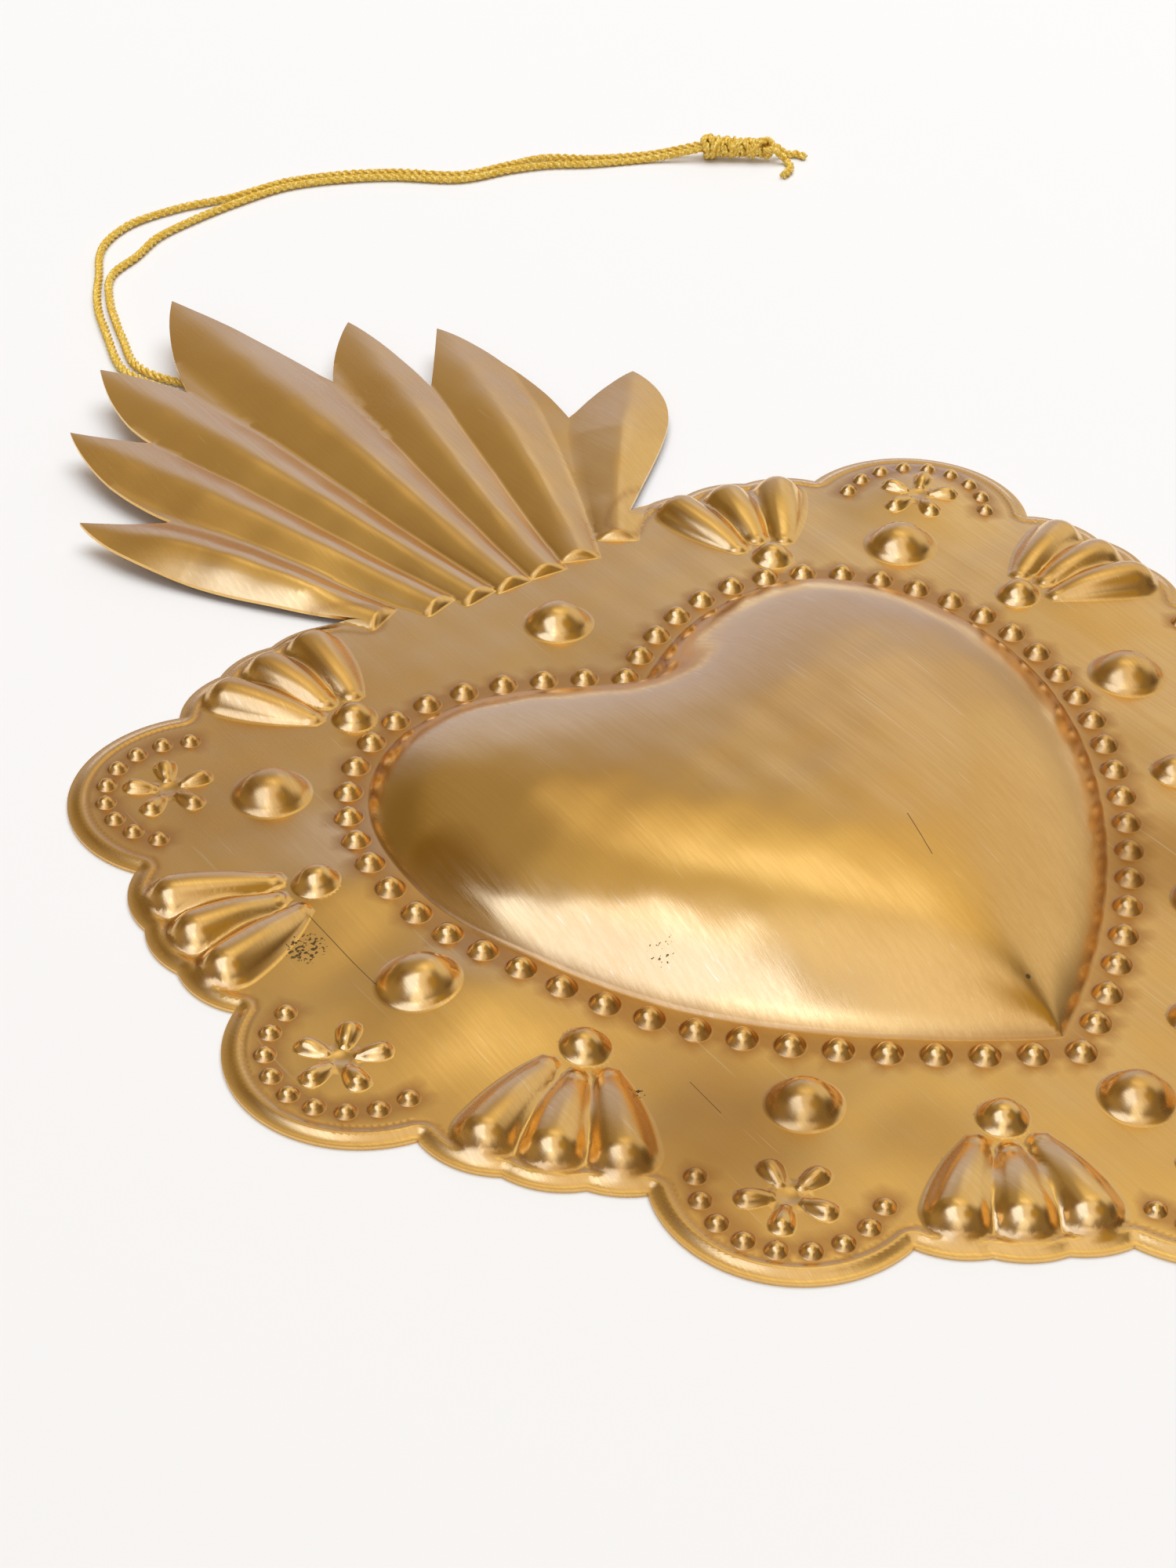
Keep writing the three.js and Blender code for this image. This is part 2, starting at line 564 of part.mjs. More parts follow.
// Delaunay triangles of the points, each counter-clockwise
function triangulate(points) {
  const count = points.length;
  const far = 1e4;
  const all = points.map(({ x, y }, i) => {
    const turn = i * i;
    return { x: x + NUDGE * Math.sin(turn), y: y + NUDGE * Math.cos(turn) };
  });
  all.push({ x: -far, y: -far }, { x: far, y: -far }, { x: 0, y: far });
  const order = points.map((p, i) => i).sort((i, j) => all[i].x - all[j].x);
  let open = [circumscribed(all, count, count + 1, count + 2)];
  const closed = [];
  for (const i of order) {
    const p = all[i];
    const edges = new Map();
    const kept = [];
    for (const triangle of open) {
      const dx = p.x - triangle.x;
      const dy = p.y - triangle.y;
      if (dx > 0 && dx * dx > triangle.reach2) closed.push(triangle);
      else if (dx * dx + dy * dy > triangle.reach2) kept.push(triangle);
      else {
        triangle.corners.forEach((from, n) => {
          const to = triangle.corners[(n + 1) % 3];
          const back = `${to},${from}`;
          if (edges.has(back)) edges.delete(back);
          else edges.set(`${from},${to}`, [from, to]);
        });
      }
    }
    open = kept;
    for (const [from, to] of edges.values()) open.push(circumscribed(all, from, to, i));
  }
  return [...closed, ...open].map((t) => t.corners).filter((corners) => corners.every((i) => i < count));
}

// Whether a triangle belongs to the sheet: it has an area, and lies within the outline
function isFace(points, corners) {
  const [a, b, c] = corners.map((i) => points[i]);
  const area = ((b.x - a.x) * (c.y - a.y) - (b.y - a.y) * (c.x - a.x)) / 2;
  return area > NUDGE && isInside(outline, { x: (a.x + b.x + c.x) / 3, y: (a.y + b.y + c.y) / 3 });
}

// Triangles of the face: an outline edge that they miss is halved until they follow the outline
function faceTriangles(points) {
  let loop = outline.map((p, i) => i);
  let triangles = triangulate(points);
  for (let round = 0; round < SPLIT_ROUNDS; round += 1) {
    const edges = new Set(triangles.flatMap(([a, b, c]) => [`${a},${b}`, `${b},${c}`, `${c},${a}`]));
    const finer = loop.flatMap((from, n) => {
      const to = loop[(n + 1) % loop.length];
      if (edges.has(`${from},${to}`) || edges.has(`${to},${from}`)) return [from];
      const p = points[from];
      const q = points[to];
      return [from, points.push({ x: (p.x + q.x) / 2, y: (p.y + q.y) / 2 }) - 1];
    });
    if (finer.length === loop.length) break;
    loop = finer;
    triangles = triangulate(points);
  }
  return triangles.filter((corners) => isFace(points, corners));
}

// The sheet: the triangulated face, the same surface one thickness lower, and the cut edge between
function sheetGeometry() {
  const points = sheetPoints();
  const face = faceTriangles(points);
  const tops = points.map(relief);
  const count = points.length;
  const position = [];
  points.forEach((p, i) => position.push(p.x, p.y, tops[i]));
  points.forEach((p, i) => position.push(p.x, p.y, tops[i] - SHEET_THICKNESS));
  const edges = new Map();
  const index = [];
  face.forEach((corners) => {
    const [a, b, c] = corners;
    index.push(a, b, c, a + count, c + count, b + count);
    corners.forEach((from, n) => {
      const to = corners[(n + 1) % 3];
      if (!edges.delete(`${to},${from}`)) edges.set(`${from},${to}`, [from, to]);
    });
  });
  for (const [from, to] of edges.values()) {
    index.push(from, from + count, to, to, from + count, to + count);
  }
  const geometry = new THREE.BufferGeometry();
  geometry.setAttribute('position', new THREE.Float32BufferAttribute(position, 3));
  geometry.setIndex(index);
  geometry.computeVertexNormals();
  return geometry;
}

function polygon(radius, sides) {
  const points = [];
  for (let i = 0; i < sides; i += 1) {
    const turn = (2 * Math.PI * i) / sides;
    points.push(new THREE.Vector2(radius * Math.cos(turn), radius * Math.sin(turn)));
  }
  return new THREE.Shape(points);
}

function tube(points, diameter, sides, steps) {
  const extrudePath = new THREE.CatmullRomCurve3(points, false, 'centripetal');
  extrudePath.arcLengthDivisions = steps * LENGTH_SAMPLES;
  return new THREE.ExtrudeGeometry(polygon(diameter / 2, sides), { extrudePath, steps });
}

function lathe(profile, sides) {
  return new THREE.LatheGeometry(profile.map(([x, y]) => new THREE.Vector2(x, y)), sides);
}

// Hanging eye: a bent wire whose legs stand under the middle flame's ridge
const eyeLow = EYE_FLOOR_GAP + EYE_WIRE / 2;
const eyeLegs = [EYE_Y - EYE_SPAN / 2, EYE_Y + EYE_SPAN / 2].map((y) => {
  const { line } = ridges[EYE_FLAME];
  const { x } = line.reduce((near, p) => (Math.abs(p.y - y) < Math.abs(near.y - y) ? p : near));
  return { x, y, top: relief({ x, y }) - SHEET_THICKNESS - SEAT_GAP };
});

function eyeGeometry() {
  const [lower, upper] = eyeLegs;
  const bow = eyeLow + EYE_SPAN / 2;
  const points = [new THREE.Vector3(lower.x, lower.y, lower.top)];
  for (let i = 0; i <= EYE_BOW_POINTS; i += 1) {
    const share = i / EYE_BOW_POINTS;
    const y = EYE_Y - (EYE_SPAN / 2) * Math.cos(Math.PI * share);
    const z = bow - (EYE_SPAN / 2) * Math.sin(Math.PI * share);
    points.push(new THREE.Vector3(lerp(lower.x, upper.x, share), y, z));
  }
  points.push(new THREE.Vector3(upper.x, upper.y, upper.top));
  return tube(points, EYE_WIRE, EYE_SIDES, EYE_STEPS);
}

function solderGeometry() {
  const bore = EYE_WIRE / 2 + SEAT_GAP;
  const rim = SOLDER_DIAMETER / 2;
  const waist = [(bore + rim) / 2, -SOLDER_HEIGHT / 2];
  const profile = [[bore, 0], [bore, -SOLDER_HEIGHT], waist, [rim, 0], [bore, 0]];
  return lathe(profile, SOLDER_SIDES).rotateX(Math.PI / 2);
}

// Cord: down one strand, through the eye, and back along the other
const cordLow = CORD_LIFT + CORD_DIAMETER / 2;
const cordInEye = eyeLow + EYE_WIRE / 2 + SEAT_GAP + CORD_DIAMETER / 2;
const knotHeight = CORD_LIFT + KNOT.diameter / 2;

// Where a strand meets the knot's near end
function knotEntry(side) {
  const back = polar(KNOT, -KNOT.length / 2 - SEAT_GAP, KNOT.bearing);
  const entry = polar(back, side * STRAND_OFFSET, KNOT.bearing + 90);
  return new THREE.Vector3(entry.x, entry.y, knotHeight);
}

function cordGeometry() {
  const eye = { x: (eyeLegs[0].x + eyeLegs[1].x) / 2, y: EYE_Y };
  const points = [...OUTER_STRAND, eye, ...INNER_STRAND].map(({ x, y }) => {
    const away = Math.hypot(x - eye.x, y - eye.y);
    const climb = THREE.MathUtils.smoothstep(EYE_CLIMB - away, 0, EYE_CLIMB);
    return new THREE.Vector3(x, y, lerp(cordLow, cordInEye, climb));
  });
  return tube([knotEntry(1), ...points, knotEntry(-1)], CORD_DIAMETER, CORD_SIDES, CORD_STEPS);
}

function knotGeometry() {
  const half = KNOT.length / 2;
  const waist = KNOT.waist / 2;
  const [near, far] = KNOT_TURNS.map((turn) => turn.map((share) => [KNOT.diameter / 2, share * half]));
  const profile = [[0, -half], [waist, -half], ...near, [waist, 0], ...far, [waist, half], [0, half]];
  return lathe(profile, KNOT_SIDES).rotateZ(-Math.PI / 2);
}

function tailGeometry({ side, reach }) {
  const start = KNOT.length / 2 + SEAT_GAP;
  const offset = side * STRAND_OFFSET;
  const drop = cordLow - knotHeight;
  const route = [[0, 0], ...reach].map(([x, y], i) => {
    return new THREE.Vector3(start + x * CORD_DIAMETER, offset + y * CORD_DIAMETER, i === 0 ? 0 : drop);
  });
  return tube(route, CORD_DIAMETER, CORD_SIDES, TAIL_STEPS);
}

const brass = { color: 0xb48a4e, roughness: 0.28, metalness: 1 };
const solder = { color: 0xa8a39a, roughness: 0.45, metalness: 1 };
const twine = { color: 0xd8ae3c, roughness: 0.5, metalness: 0.6 };

const heart = new THREE.Group();
const reach = new THREE.Box2().setFromPoints(outline.map((p) => new THREE.Vector2(p.x, p.y)));
const middle = reach.getCenter(new THREE.Vector2());
heart.position.set(-middle.x, -middle.y, 0);

function add(parent, name, geometry, finish) {
  const mesh = new THREE.Mesh(geometry, new THREE.MeshStandardMaterial(finish));
  mesh.name = name;
  parent.add(mesh);
  return mesh;
}

add(heart, 'heart_sheet', sheetGeometry(), brass);
add(heart, 'hanging_eye', eyeGeometry(), brass);
eyeLegs.forEach((leg, i) => {
  const fillet = add(heart, i === 0 ? 'eye_solder_lower' : 'eye_solder_upper', solderGeometry(), solder);
  fillet.position.set(leg.x, leg.y, leg.top - SEAT_GAP);
});
add(heart, 'hanging_cord', cordGeometry(), twine);

const knot = new THREE.Group();
knot.position.set(KNOT.x, KNOT.y, knotHeight);
knot.rotation.z = radians(KNOT.bearing);
add(knot, 'cord_knot', knotGeometry(), twine);
TAILS.forEach((tail) => add(knot, tail.name, tailGeometry(tail), twine));
heart.add(knot);

export default heart;
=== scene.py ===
"""Looks of the brass sacred heart: pressed sheet, wire eye, solder and gold twine.

The floor, the light and the camera come last.
"""
import math

import bpy
import numpy as np
from mathutils import Matrix, Vector
from mathutils.geometry import delaunay_2d_cdt


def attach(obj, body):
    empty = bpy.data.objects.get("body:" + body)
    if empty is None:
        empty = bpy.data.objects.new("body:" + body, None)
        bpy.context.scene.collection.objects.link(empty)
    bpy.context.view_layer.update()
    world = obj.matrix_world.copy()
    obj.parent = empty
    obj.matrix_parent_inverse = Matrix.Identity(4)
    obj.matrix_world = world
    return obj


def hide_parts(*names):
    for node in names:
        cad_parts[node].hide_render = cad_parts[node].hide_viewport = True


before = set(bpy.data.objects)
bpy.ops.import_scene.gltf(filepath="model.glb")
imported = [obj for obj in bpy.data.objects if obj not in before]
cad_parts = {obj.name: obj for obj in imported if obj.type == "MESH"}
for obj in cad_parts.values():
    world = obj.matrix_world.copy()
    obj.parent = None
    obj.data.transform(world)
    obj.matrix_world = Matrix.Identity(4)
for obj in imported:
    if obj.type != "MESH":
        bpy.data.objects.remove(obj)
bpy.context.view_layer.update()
bpy.ops.object.select_all(action="DESELECT")

# Sizes in millimetres; places on the sheet are shares of its width and length, from the heart's centre
MM = 0.001
SHEET_WIDTH, SHEET_LENGTH = 161.2, 242.6
SHEET_THICKNESS = 0.5
RIM_DROP, RIM_FOOT, RIM_WIDTH = 0.45, 0.2, 1.75
FACE_HEIGHT = SHEET_THICKNESS + RIM_DROP
RIM_RIDGE, RIM_RIDGE_AT, RIM_RIDGE_HALF = 0.09, 1.75, 0.45
RIM_CREASE, RIM_CREASE_AT, RIM_CREASE_HALF = 0.07, 2.45, 0.32
RIM_END, RIM_START, RIM_SLACK = 2.0, 7.0, 0.05


def on_sheet(across, along):
    return np.array([across * SHEET_WIDTH, along * SHEET_LENGTH])


# Heart line and dome
CLEFT, TIP = on_sheet(0, 0.1814), on_sheet(0, -0.1814)
SHOULDER, FLANK = on_sheet(0.1501, 0.2214), on_sheet(0.304, 0.0923)
CLEFT_PULL, TIP_PULL = on_sheet(0.0434, 0.0206), on_sheet(0.1768, 0.0639)
SHOULDER_INNER, SHOULDER_OUTER = on_sheet(0.0571, 0), on_sheet(0.0887, 0)
FLANK_UPPER, FLANK_LOWER = on_sheet(0, 0.0705), on_sheet(0, 0.0923)
BEADS_PER_SIDE, BEAD_DIAMETER, BEAD_HEIGHT = 28, 3.4, 1.5
BEAD_FOOT, PETAL_FOOT, BOSS_FOOT, MARK_ROUND = 1.0, 0.82, 0.88, 2.4
DOME_INSET, DOME_CROWN, DOME_STEP, DOME_STEP_WIDTH = 2.7, 9.6, 0.9, 2.2
DOME_TRIM, DOME_POINTS = 0.7, 260

# Border lobes: place, radius, direction of the outer end, boss place, boss diameter
LOBES = [
    (on_sheet(0.3575, 0.2235), 0.1035 * SHEET_WIDTH, 39, on_sheet(0.3151, 0.2003), 9.4),
    (on_sheet(0.3982, 0.0115), 0.1021 * SHEET_WIDTH, -12, on_sheet(0.3412, 0.0289), 9.4),
    (on_sheet(0.232, -0.1656), 0.0987 * SHEET_WIDTH, -43, on_sheet(0.1886, -0.1356), 8.2),
    (on_sheet(0, -0.2593), 0.0993 * SHEET_WIDTH, -90, on_sheet(0, -0.2181), 8.2),
]
CROWN_BOSS, CROWN_BOSS_DIAMETER, BOSS_HEIGHT = on_sheet(0, 0.2465), 8.8, 3.0
DOTS_PER_LOBE, DOT_STEP, DOT_RING_RADIUS, DOT_RING_OFFSET = 9, 20.3, 10.2, 1.8
DOT_DIAMETER, DOT_HEIGHT = 2.4, 1.0
FLOWER_PETALS, FLOWER_OFFSET = 5, 4.1
FLOWER_INNER, FLOWER_OUTER, FLOWER_HEIGHT = 2.0, 4.4, 1.15
FLOWER_INNER_RADIUS, FLOWER_OUTER_RADIUS = 0.75, 1.35

# Shells: boss place, direction, reach from boss to cut edge
SHELLS = [
    (on_sheet(0.2115, 0.2329), 76, 0.1337 * SHEET_WIDTH),
    (on_sheet(0.3449, 0.1204), 3, 0.1322 * SHEET_WIDTH),
    (on_sheet(0.2792, -0.0503), -43, 0.1339 * SHEET_WIDTH),
    (on_sheet(0.0881, -0.1937), -57.5, 0.1253 * SHEET_WIDTH),
]
SHELL_BOSS_DIAMETER, SHELL_BOSS_HEIGHT = 5.6, 2.2
SCALLOP_RADIUS, SCALLOP_SPREAD, SCALLOP_SIDE_REACH = 0.0686 * SHEET_WIDTH, 34.8, 1.3
ROOT_FADE = 1.6
PETAL_START, PETAL_START_SPREAD, PETAL_SPREAD = 5.4, 42, 26
PETAL_INNER_RADIUS, PETAL_OUTER_RADIUS, PETAL_HEIGHT, PETAL_MARGIN = 1.6, 3.65, 2.7, 0.5

# Flame tongues: nose, ridge bend, half width, points of the edge up to the tip, points of the edge after it
CORNER_BEARING, FLAME_ROOT, FLAME_BEND, FLAME_TILT = 140, 0.3092 * SHEET_LENGTH, 10.0, 2.9
FLUTE_SLOPE, FLUTE_FADE, FLUTE_ROOT_HALF, FLUTE_WIDEST = 0.38, 0.6, 3.0, 0.6
FLUTE_ROUND, ROOT_ROUND, ROOT_ROUND_SHARE, NOSE_REACH = 0.3, 1.6, 0.22, 1.4
FLUTE_LEAD = 3 * FLUTE_ROOT_HALF  # how far below the flame's root a flute can still rise
FLAMES = [
    ((-0.121, 0.3092), (-0.183, 0.3895), 0.0372,
     [(-0.2792, 0.4233), (-0.2705, 0.4786)], [(-0.2233, 0.4505), (-0.1985, 0.4559)]),
    ((-0.0695, 0.3021), (-0.1259, 0.4138), 0.0372,
     [(-0.2339, 0.5173), (-0.2122, 0.5688)], [(-0.1836, 0.5433), (-0.1532, 0.5375)]),
    ((-0.0329, 0.298), (-0.0757, 0.4287), 0.0385,
     [(-0.1669, 0.5771), (-0.139, 0.6249)], [(-0.1017, 0.5948), (-0.0844, 0.5767)]),
    ((0.0012, 0.2968), (-0.0043, 0.4369), 0.0509,
     [(-0.0645, 0.6356), (-0.0223, 0.6748)], [(0.0155, 0.6051), (0.0416, 0.5408)]),
    ((0.036, 0.2968), (0.0533, 0.4122), 0.0372,
     [(0.0651, 0.5705), (0.1061, 0.594)], [(0.1185, 0.5486), (0.1141, 0.5016)]),
    ((0.0732, 0.2984), (0.1191, 0.3809), 0.0409,
     [(0.1421, 0.5264), (0.1725, 0.5561)], [(0.2134, 0.4979), (0.1954, 0.4266)]),
    ((0.1203, 0.3034), (0.1799, 0.3636), 0.0459,
     [(0.2357, 0.4382), (0.2885, 0.4452)], [(0.3102, 0.3916), (0.2357, 0.371)]),
]

# Hanging eye and cord
EYE_WIRE, EYE_Y, EYE_FLAME, EYE_FLOOR_GAP = 1.6, 0.4988 * SHEET_LENGTH, 3, 0.3
SEAT_GAP = 0.35
CORD_DIAMETER, CORD_LIFT, EYE_CLIMB, STRAND_OFFSET = 1.4, 0.05, 26.0, 0.95
OUTER_STRAND = [
    (0.6073, 0.7246), (0.5496, 0.7428), (0.5074, 0.7634), (0.464, 0.7679), (0.4094, 0.7737),
    (0.3511, 0.805), (0.3027, 0.8228), (0.2413, 0.8355), (0.1743, 0.8351), (0.1135, 0.8409),
    (0.0521, 0.8368), (0.005, 0.8162), (-0.0273, 0.7795), (-0.0571, 0.7424), (-0.0819, 0.6937),
    (-0.0986, 0.6488), (-0.0844, 0.6134), (-0.0596, 0.5709), (-0.0496, 0.5342), (-0.0347, 0.5066),
]
INNER_STRAND = [
    (0.0223, 0.5012), (0.0385, 0.5177), (0.0223, 0.5458), (-0.0285, 0.5837), (-0.067, 0.6158),
    (-0.0844, 0.648), (-0.0682, 0.6921), (-0.0447, 0.7399), (-0.0167, 0.7737), (0.0242, 0.7898),
    (0.0639, 0.8079), (0.1172, 0.8186), (0.1743, 0.8256), (0.237, 0.8281), (0.2965, 0.8157),
    (0.3437, 0.7984), (0.402, 0.7675), (0.4615, 0.7601), (0.5025, 0.751), (0.5409, 0.7358),
    (0.6011, 0.7185),
]
KNOT_AT, KNOT_BEARING, KNOT_LENGTH, KNOT_DIAMETER = on_sheet(0.6886, 0.6851), -39, 12.0, 4.6
TAILS = {
    "cord_tail_front": (-1, [(1.7, -0.5), (2.1, -3), (1.3, -4.7)]),
    "cord_tail_rear": (1, [(1.6, 0.3), (2.9, 0.4), (4, -0.3)]),
}

# Points along drawn lines, and lengths that count as nothing
CURVE_POINTS, HEART_SPAN_POINTS, RIDGE_POINTS, BORDER_LOOP_STEP = 200, 120, 90, 0.4
TINY, SAME_PLACE = 1e-9, 1e-6


def eased(value, low, high):
    share = np.clip((value - low) / (high - low), 0, 1)
    return share ** 2 * (3 - 2 * share)


def polar(centre, distance, degrees):
    turn = math.radians(degrees)
    return np.asarray(centre) + distance * np.array([math.cos(turn), math.sin(turn)])


def mirrored(p):
    return np.array([-p[0], p[1]])


def bezier(points, count):
    """Evenly spaced points along a quadratic or cubic curve, without the first."""
    points = [np.asarray(p, float) for p in points]
    t = np.linspace(0, 1, CURVE_POINTS)[:, None]
    n = len(points) - 1
    fine = sum(math.comb(n, k) * (1 - t) ** (n - k) * t ** k * p for k, p in enumerate(points))
    return respaced(fine, count)[1:]


def respaced(line, count):
    """count + 1 evenly spaced points along a polyline."""
    line = np.asarray(line, float)
    run = np.concatenate([[0], np.cumsum(np.linalg.norm(np.diff(line, axis=0), axis=1))])
    at = np.linspace(0, run[-1], count + 1)
    return np.stack([np.interp(at, run, line[:, k]) for k in range(line.shape[1])], axis=1)


def line_length(line):
    return float(np.linalg.norm(np.diff(line, axis=0), axis=1).sum())


# Heart line
def heart_half(count):
    spans = [
        (CLEFT, CLEFT + CLEFT_PULL, SHOULDER - SHOULDER_INNER, SHOULDER),
        (SHOULDER, SHOULDER + SHOULDER_OUTER, FLANK + FLANK_UPPER, FLANK),
        (FLANK, FLANK - FLANK_LOWER, TIP + TIP_PULL, TIP),
    ]
    line = np.concatenate([CLEFT[None]] + [bezier(span, HEART_SPAN_POINTS) for span in spans])
    return respaced(line, count)


def dome_edge():
    half = heart_half(DOME_POINTS // 2)
    step = np.gradient(half, axis=0)
    step /= np.linalg.norm(step, axis=1)[:, None]
    inner = half + DOME_INSET * np.stack([step[:, 1], -step[:, 0]], axis=1)
    inner = inner[inner[:, 0] > DOME_TRIM]
    slope = (inner[-1, 1] - inner[-2, 1]) / (inner[-1, 0] - inner[-2, 0])
    point = [[0, inner[-1, 1] - slope * inner[-1, 0]]]
    return np.concatenate([inner, point, inner[::-1] * [-1, 1]])


dome_loop = dome_edge()


def inside(loop, p):
    hit = np.zeros(len(p), bool)
    for a, b in zip(loop, np.roll(loop, 1, axis=0)):
        spans = (a[1] > p[:, 1]) != (b[1] > p[:, 1])
        with np.errstate(divide="ignore", invalid="ignore"):
            hit ^= spans & (p[:, 0] < (b[0] - a[0]) * (p[:, 1] - a[1]) / (b[1] - a[1]) + a[0])
    return hit


def dome_depth(p):
    """Smooth distance to the dome's edge: true close to it, and without creases further in."""
    total = np.zeros(len(p))
    for a, b in zip(dome_loop, np.roll(dome_loop, -1, axis=0)):
        length = np.linalg.norm(b - a)
        u = (b - a) / length
        start = (a - p) @ u
        off2 = ((a - p) @ np.array([u[1], -u[0]])) ** 2 + TINY
        end = start + length
        total += (end / np.sqrt(off2 + end ** 2) - start / np.sqrt(off2 + start ** 2)) / off2
    return np.sqrt(2 / total)


dome_deepest = dome_depth(np.array([[0, (SHOULDER[1] + TIP[1]) / 2]]))[0]


def dome_rise(p):
    rise = np.zeros(len(p))
    within = inside(dome_loop, p)
    depth = dome_depth(p[within])
    rest = 1 - np.minimum(depth / dome_deepest, 1)
    rise[within] = DOME_CROWN * (1 - rest ** 2) + DOME_STEP * (1 - np.exp(-depth / DOME_STEP_WIDTH))
    return rise


# Border: a chain of circles, three scallops and a lobe in turn, run clockwise from the right corner
def scallop(shell, side):
    boss, aim, reach = shell
    return polar(boss, reach - SCALLOP_RADIUS + abs(side) * SCALLOP_SIDE_REACH, aim + side * SCALLOP_SPREAD)


def border_circles():
    right = []
    for shell, lobe in zip(SHELLS, LOBES):
        right += [(scallop(shell, side), SCALLOP_RADIUS) for side in (1, 0, -1)]
        right.append((lobe[0], lobe[1]))
    return right + [(mirrored(c), r) for c, r in right[-2::-1]]


def crossing(a, b, inset):
    (ca, ra), (cb, rb) = a, b
    ra, rb = ra - inset, rb - inset
    gap = np.linalg.norm(cb - ca)
    u = (cb - ca) / gap
    meets = gap < ra + rb
    along = (gap ** 2 + ra ** 2 - rb ** 2) / (2 * gap) if meets else ra
    out = math.sqrt(max(ra ** 2 - along ** 2, 0))
    leave = ca + u * along + np.array([-u[1], u[0]]) * out
    return leave, leave if meets else cb - u * rb


def border_arcs(inset):
    """Each arc of the border moved inwards: centre, radius, first angle, and turn, clockwise."""
    circles = border_circles()
    first, last = circles[0], circles[-1]
    before = polar(first[0], first[1] - inset, CORNER_BEARING)
    end = polar(last[0], last[1] - inset, 180 - CORNER_BEARING)
    arcs = []
    for i, (centre, radius) in enumerate(circles):
        after, meet = (end, end) if i + 1 == len(circles) else crossing(circles[i], circles[i + 1], inset)
        first_angle = math.atan2(*(before - centre)[::-1])
        turn = (first_angle - math.atan2(*(after - centre)[::-1])) % (2 * math.pi)
        arcs.append((centre, radius - inset, first_angle, turn))
        before = meet
    return arcs


def border_line(inset, step):
    line = []
    for centre, radius, first_angle, turn in border_arcs(inset):
        count = max(round(turn * radius / step), 1)
        angle = first_angle - np.linspace(0, turn, count + 1)
        line.append(centre + radius * np.stack([np.cos(angle), np.sin(angle)], axis=1))
    line = np.concatenate(line)
    apart = np.linalg.norm(np.diff(line, axis=0), axis=1) > SAME_PLACE
    return line[np.concatenate([[True], apart])]


def border_distance(p):
    """Distance of each point from the border's cut edge."""
    nearest = np.full(len(p), np.inf)
    for centre, radius, first_angle, turn in border_arcs(0):
        off = p - centre
        faced = (first_angle - np.arctan2(off[:, 1], off[:, 0])) % (2 * math.pi) <= turn
        angles = (first_angle, first_angle - turn)
        ends = [centre + radius * np.array([math.cos(t), math.sin(t)]) for t in angles]
        to_end = np.minimum(*[np.linalg.norm(p - end, axis=1) for end in ends])
        nearest = np.minimum(nearest, np.where(faced, np.abs(radius - np.linalg.norm(off, axis=1)), to_end))
    return nearest


def flame_line(left, right, step):
    line, here = [], left
    for i, (_, _, _, rise, fall) in enumerate(FLAMES):
        falls = [on_sheet(*q) for q in fall] + ([right] if i + 1 == len(FLAMES) else [])
        for points in ([on_sheet(*q) for q in rise], falls):
            curve = [here, *points]
            line.append(bezier(curve, math.ceil(line_length(np.array(curve)) / step)))
            here = points[-1]
    return np.concatenate(line)


# Punched marks: a tapered round-ended bump from a to b: a, b, radius at a, radius at b, height,
# and the share of the radius from which the foot is hollowed out (1 for a crisp foot)
def round_mark(centre, diameter, height, foot):
    return (np.asarray(centre), np.asarray(centre), diameter / 2, diameter / 2, height, foot)


def lobe_marks(lobe):
    centre, radius, aim, boss, boss_diameter = lobe
    marks = [round_mark(boss, boss_diameter, BOSS_HEIGHT, BOSS_FOOT)]
    ring = polar(centre, DOT_RING_OFFSET, aim)
    for i in range(DOTS_PER_LOBE):
        bearing = aim + (i - (DOTS_PER_LOBE - 1) / 2) * DOT_STEP
        marks.append(round_mark(polar(ring, DOT_RING_RADIUS, bearing), DOT_DIAMETER, DOT_HEIGHT, BEAD_FOOT))
    flower = polar(centre, FLOWER_OFFSET, aim)
    for i in range(FLOWER_PETALS):
        bearing = aim + 360 / FLOWER_PETALS * i
        marks.append((polar(flower, FLOWER_INNER, bearing), polar(flower, FLOWER_OUTER, bearing),
                      FLOWER_INNER_RADIUS, FLOWER_OUTER_RADIUS, FLOWER_HEIGHT, PETAL_FOOT))
    return marks


def shell_marks(shell):
    boss, aim, reach = shell
    marks = [round_mark(boss, SHELL_BOSS_DIAMETER, SHELL_BOSS_HEIGHT, BOSS_FOOT)]
    for side in (-1, 0, 1):
        edge = np.linalg.norm(scallop(shell, side) - boss) + SCALLOP_RADIUS
        outer = edge - RIM_WIDTH - PETAL_MARGIN - PETAL_OUTER_RADIUS
        marks.append((polar(boss, PETAL_START, aim + side * PETAL_START_SPREAD),
                      polar(boss, outer, aim + side * PETAL_SPREAD),
                      PETAL_INNER_RADIUS, PETAL_OUTER_RADIUS, PETAL_HEIGHT, PETAL_FOOT))
    return marks


def all_marks():
    half = heart_half(BEADS_PER_SIDE + 1)
    beads = [round_mark(p, BEAD_DIAMETER, BEAD_HEIGHT, BEAD_FOOT) for p in [*half, *(half[1:-1] * [-1, 1])]]
    right = [m for lobe in LOBES[:-1] for m in lobe_marks(lobe)]
    right += [m for shell in SHELLS for m in shell_marks(shell)]
    left = [(mirrored(a), mirrored(b), *rest) for a, b, *rest in right]
    crown = round_mark(CROWN_BOSS, CROWN_BOSS_DIAMETER, BOSS_HEIGHT, BOSS_FOOT)
    return beads + right + left + lobe_marks(LOBES[-1]) + [crown]


marks = all_marks()


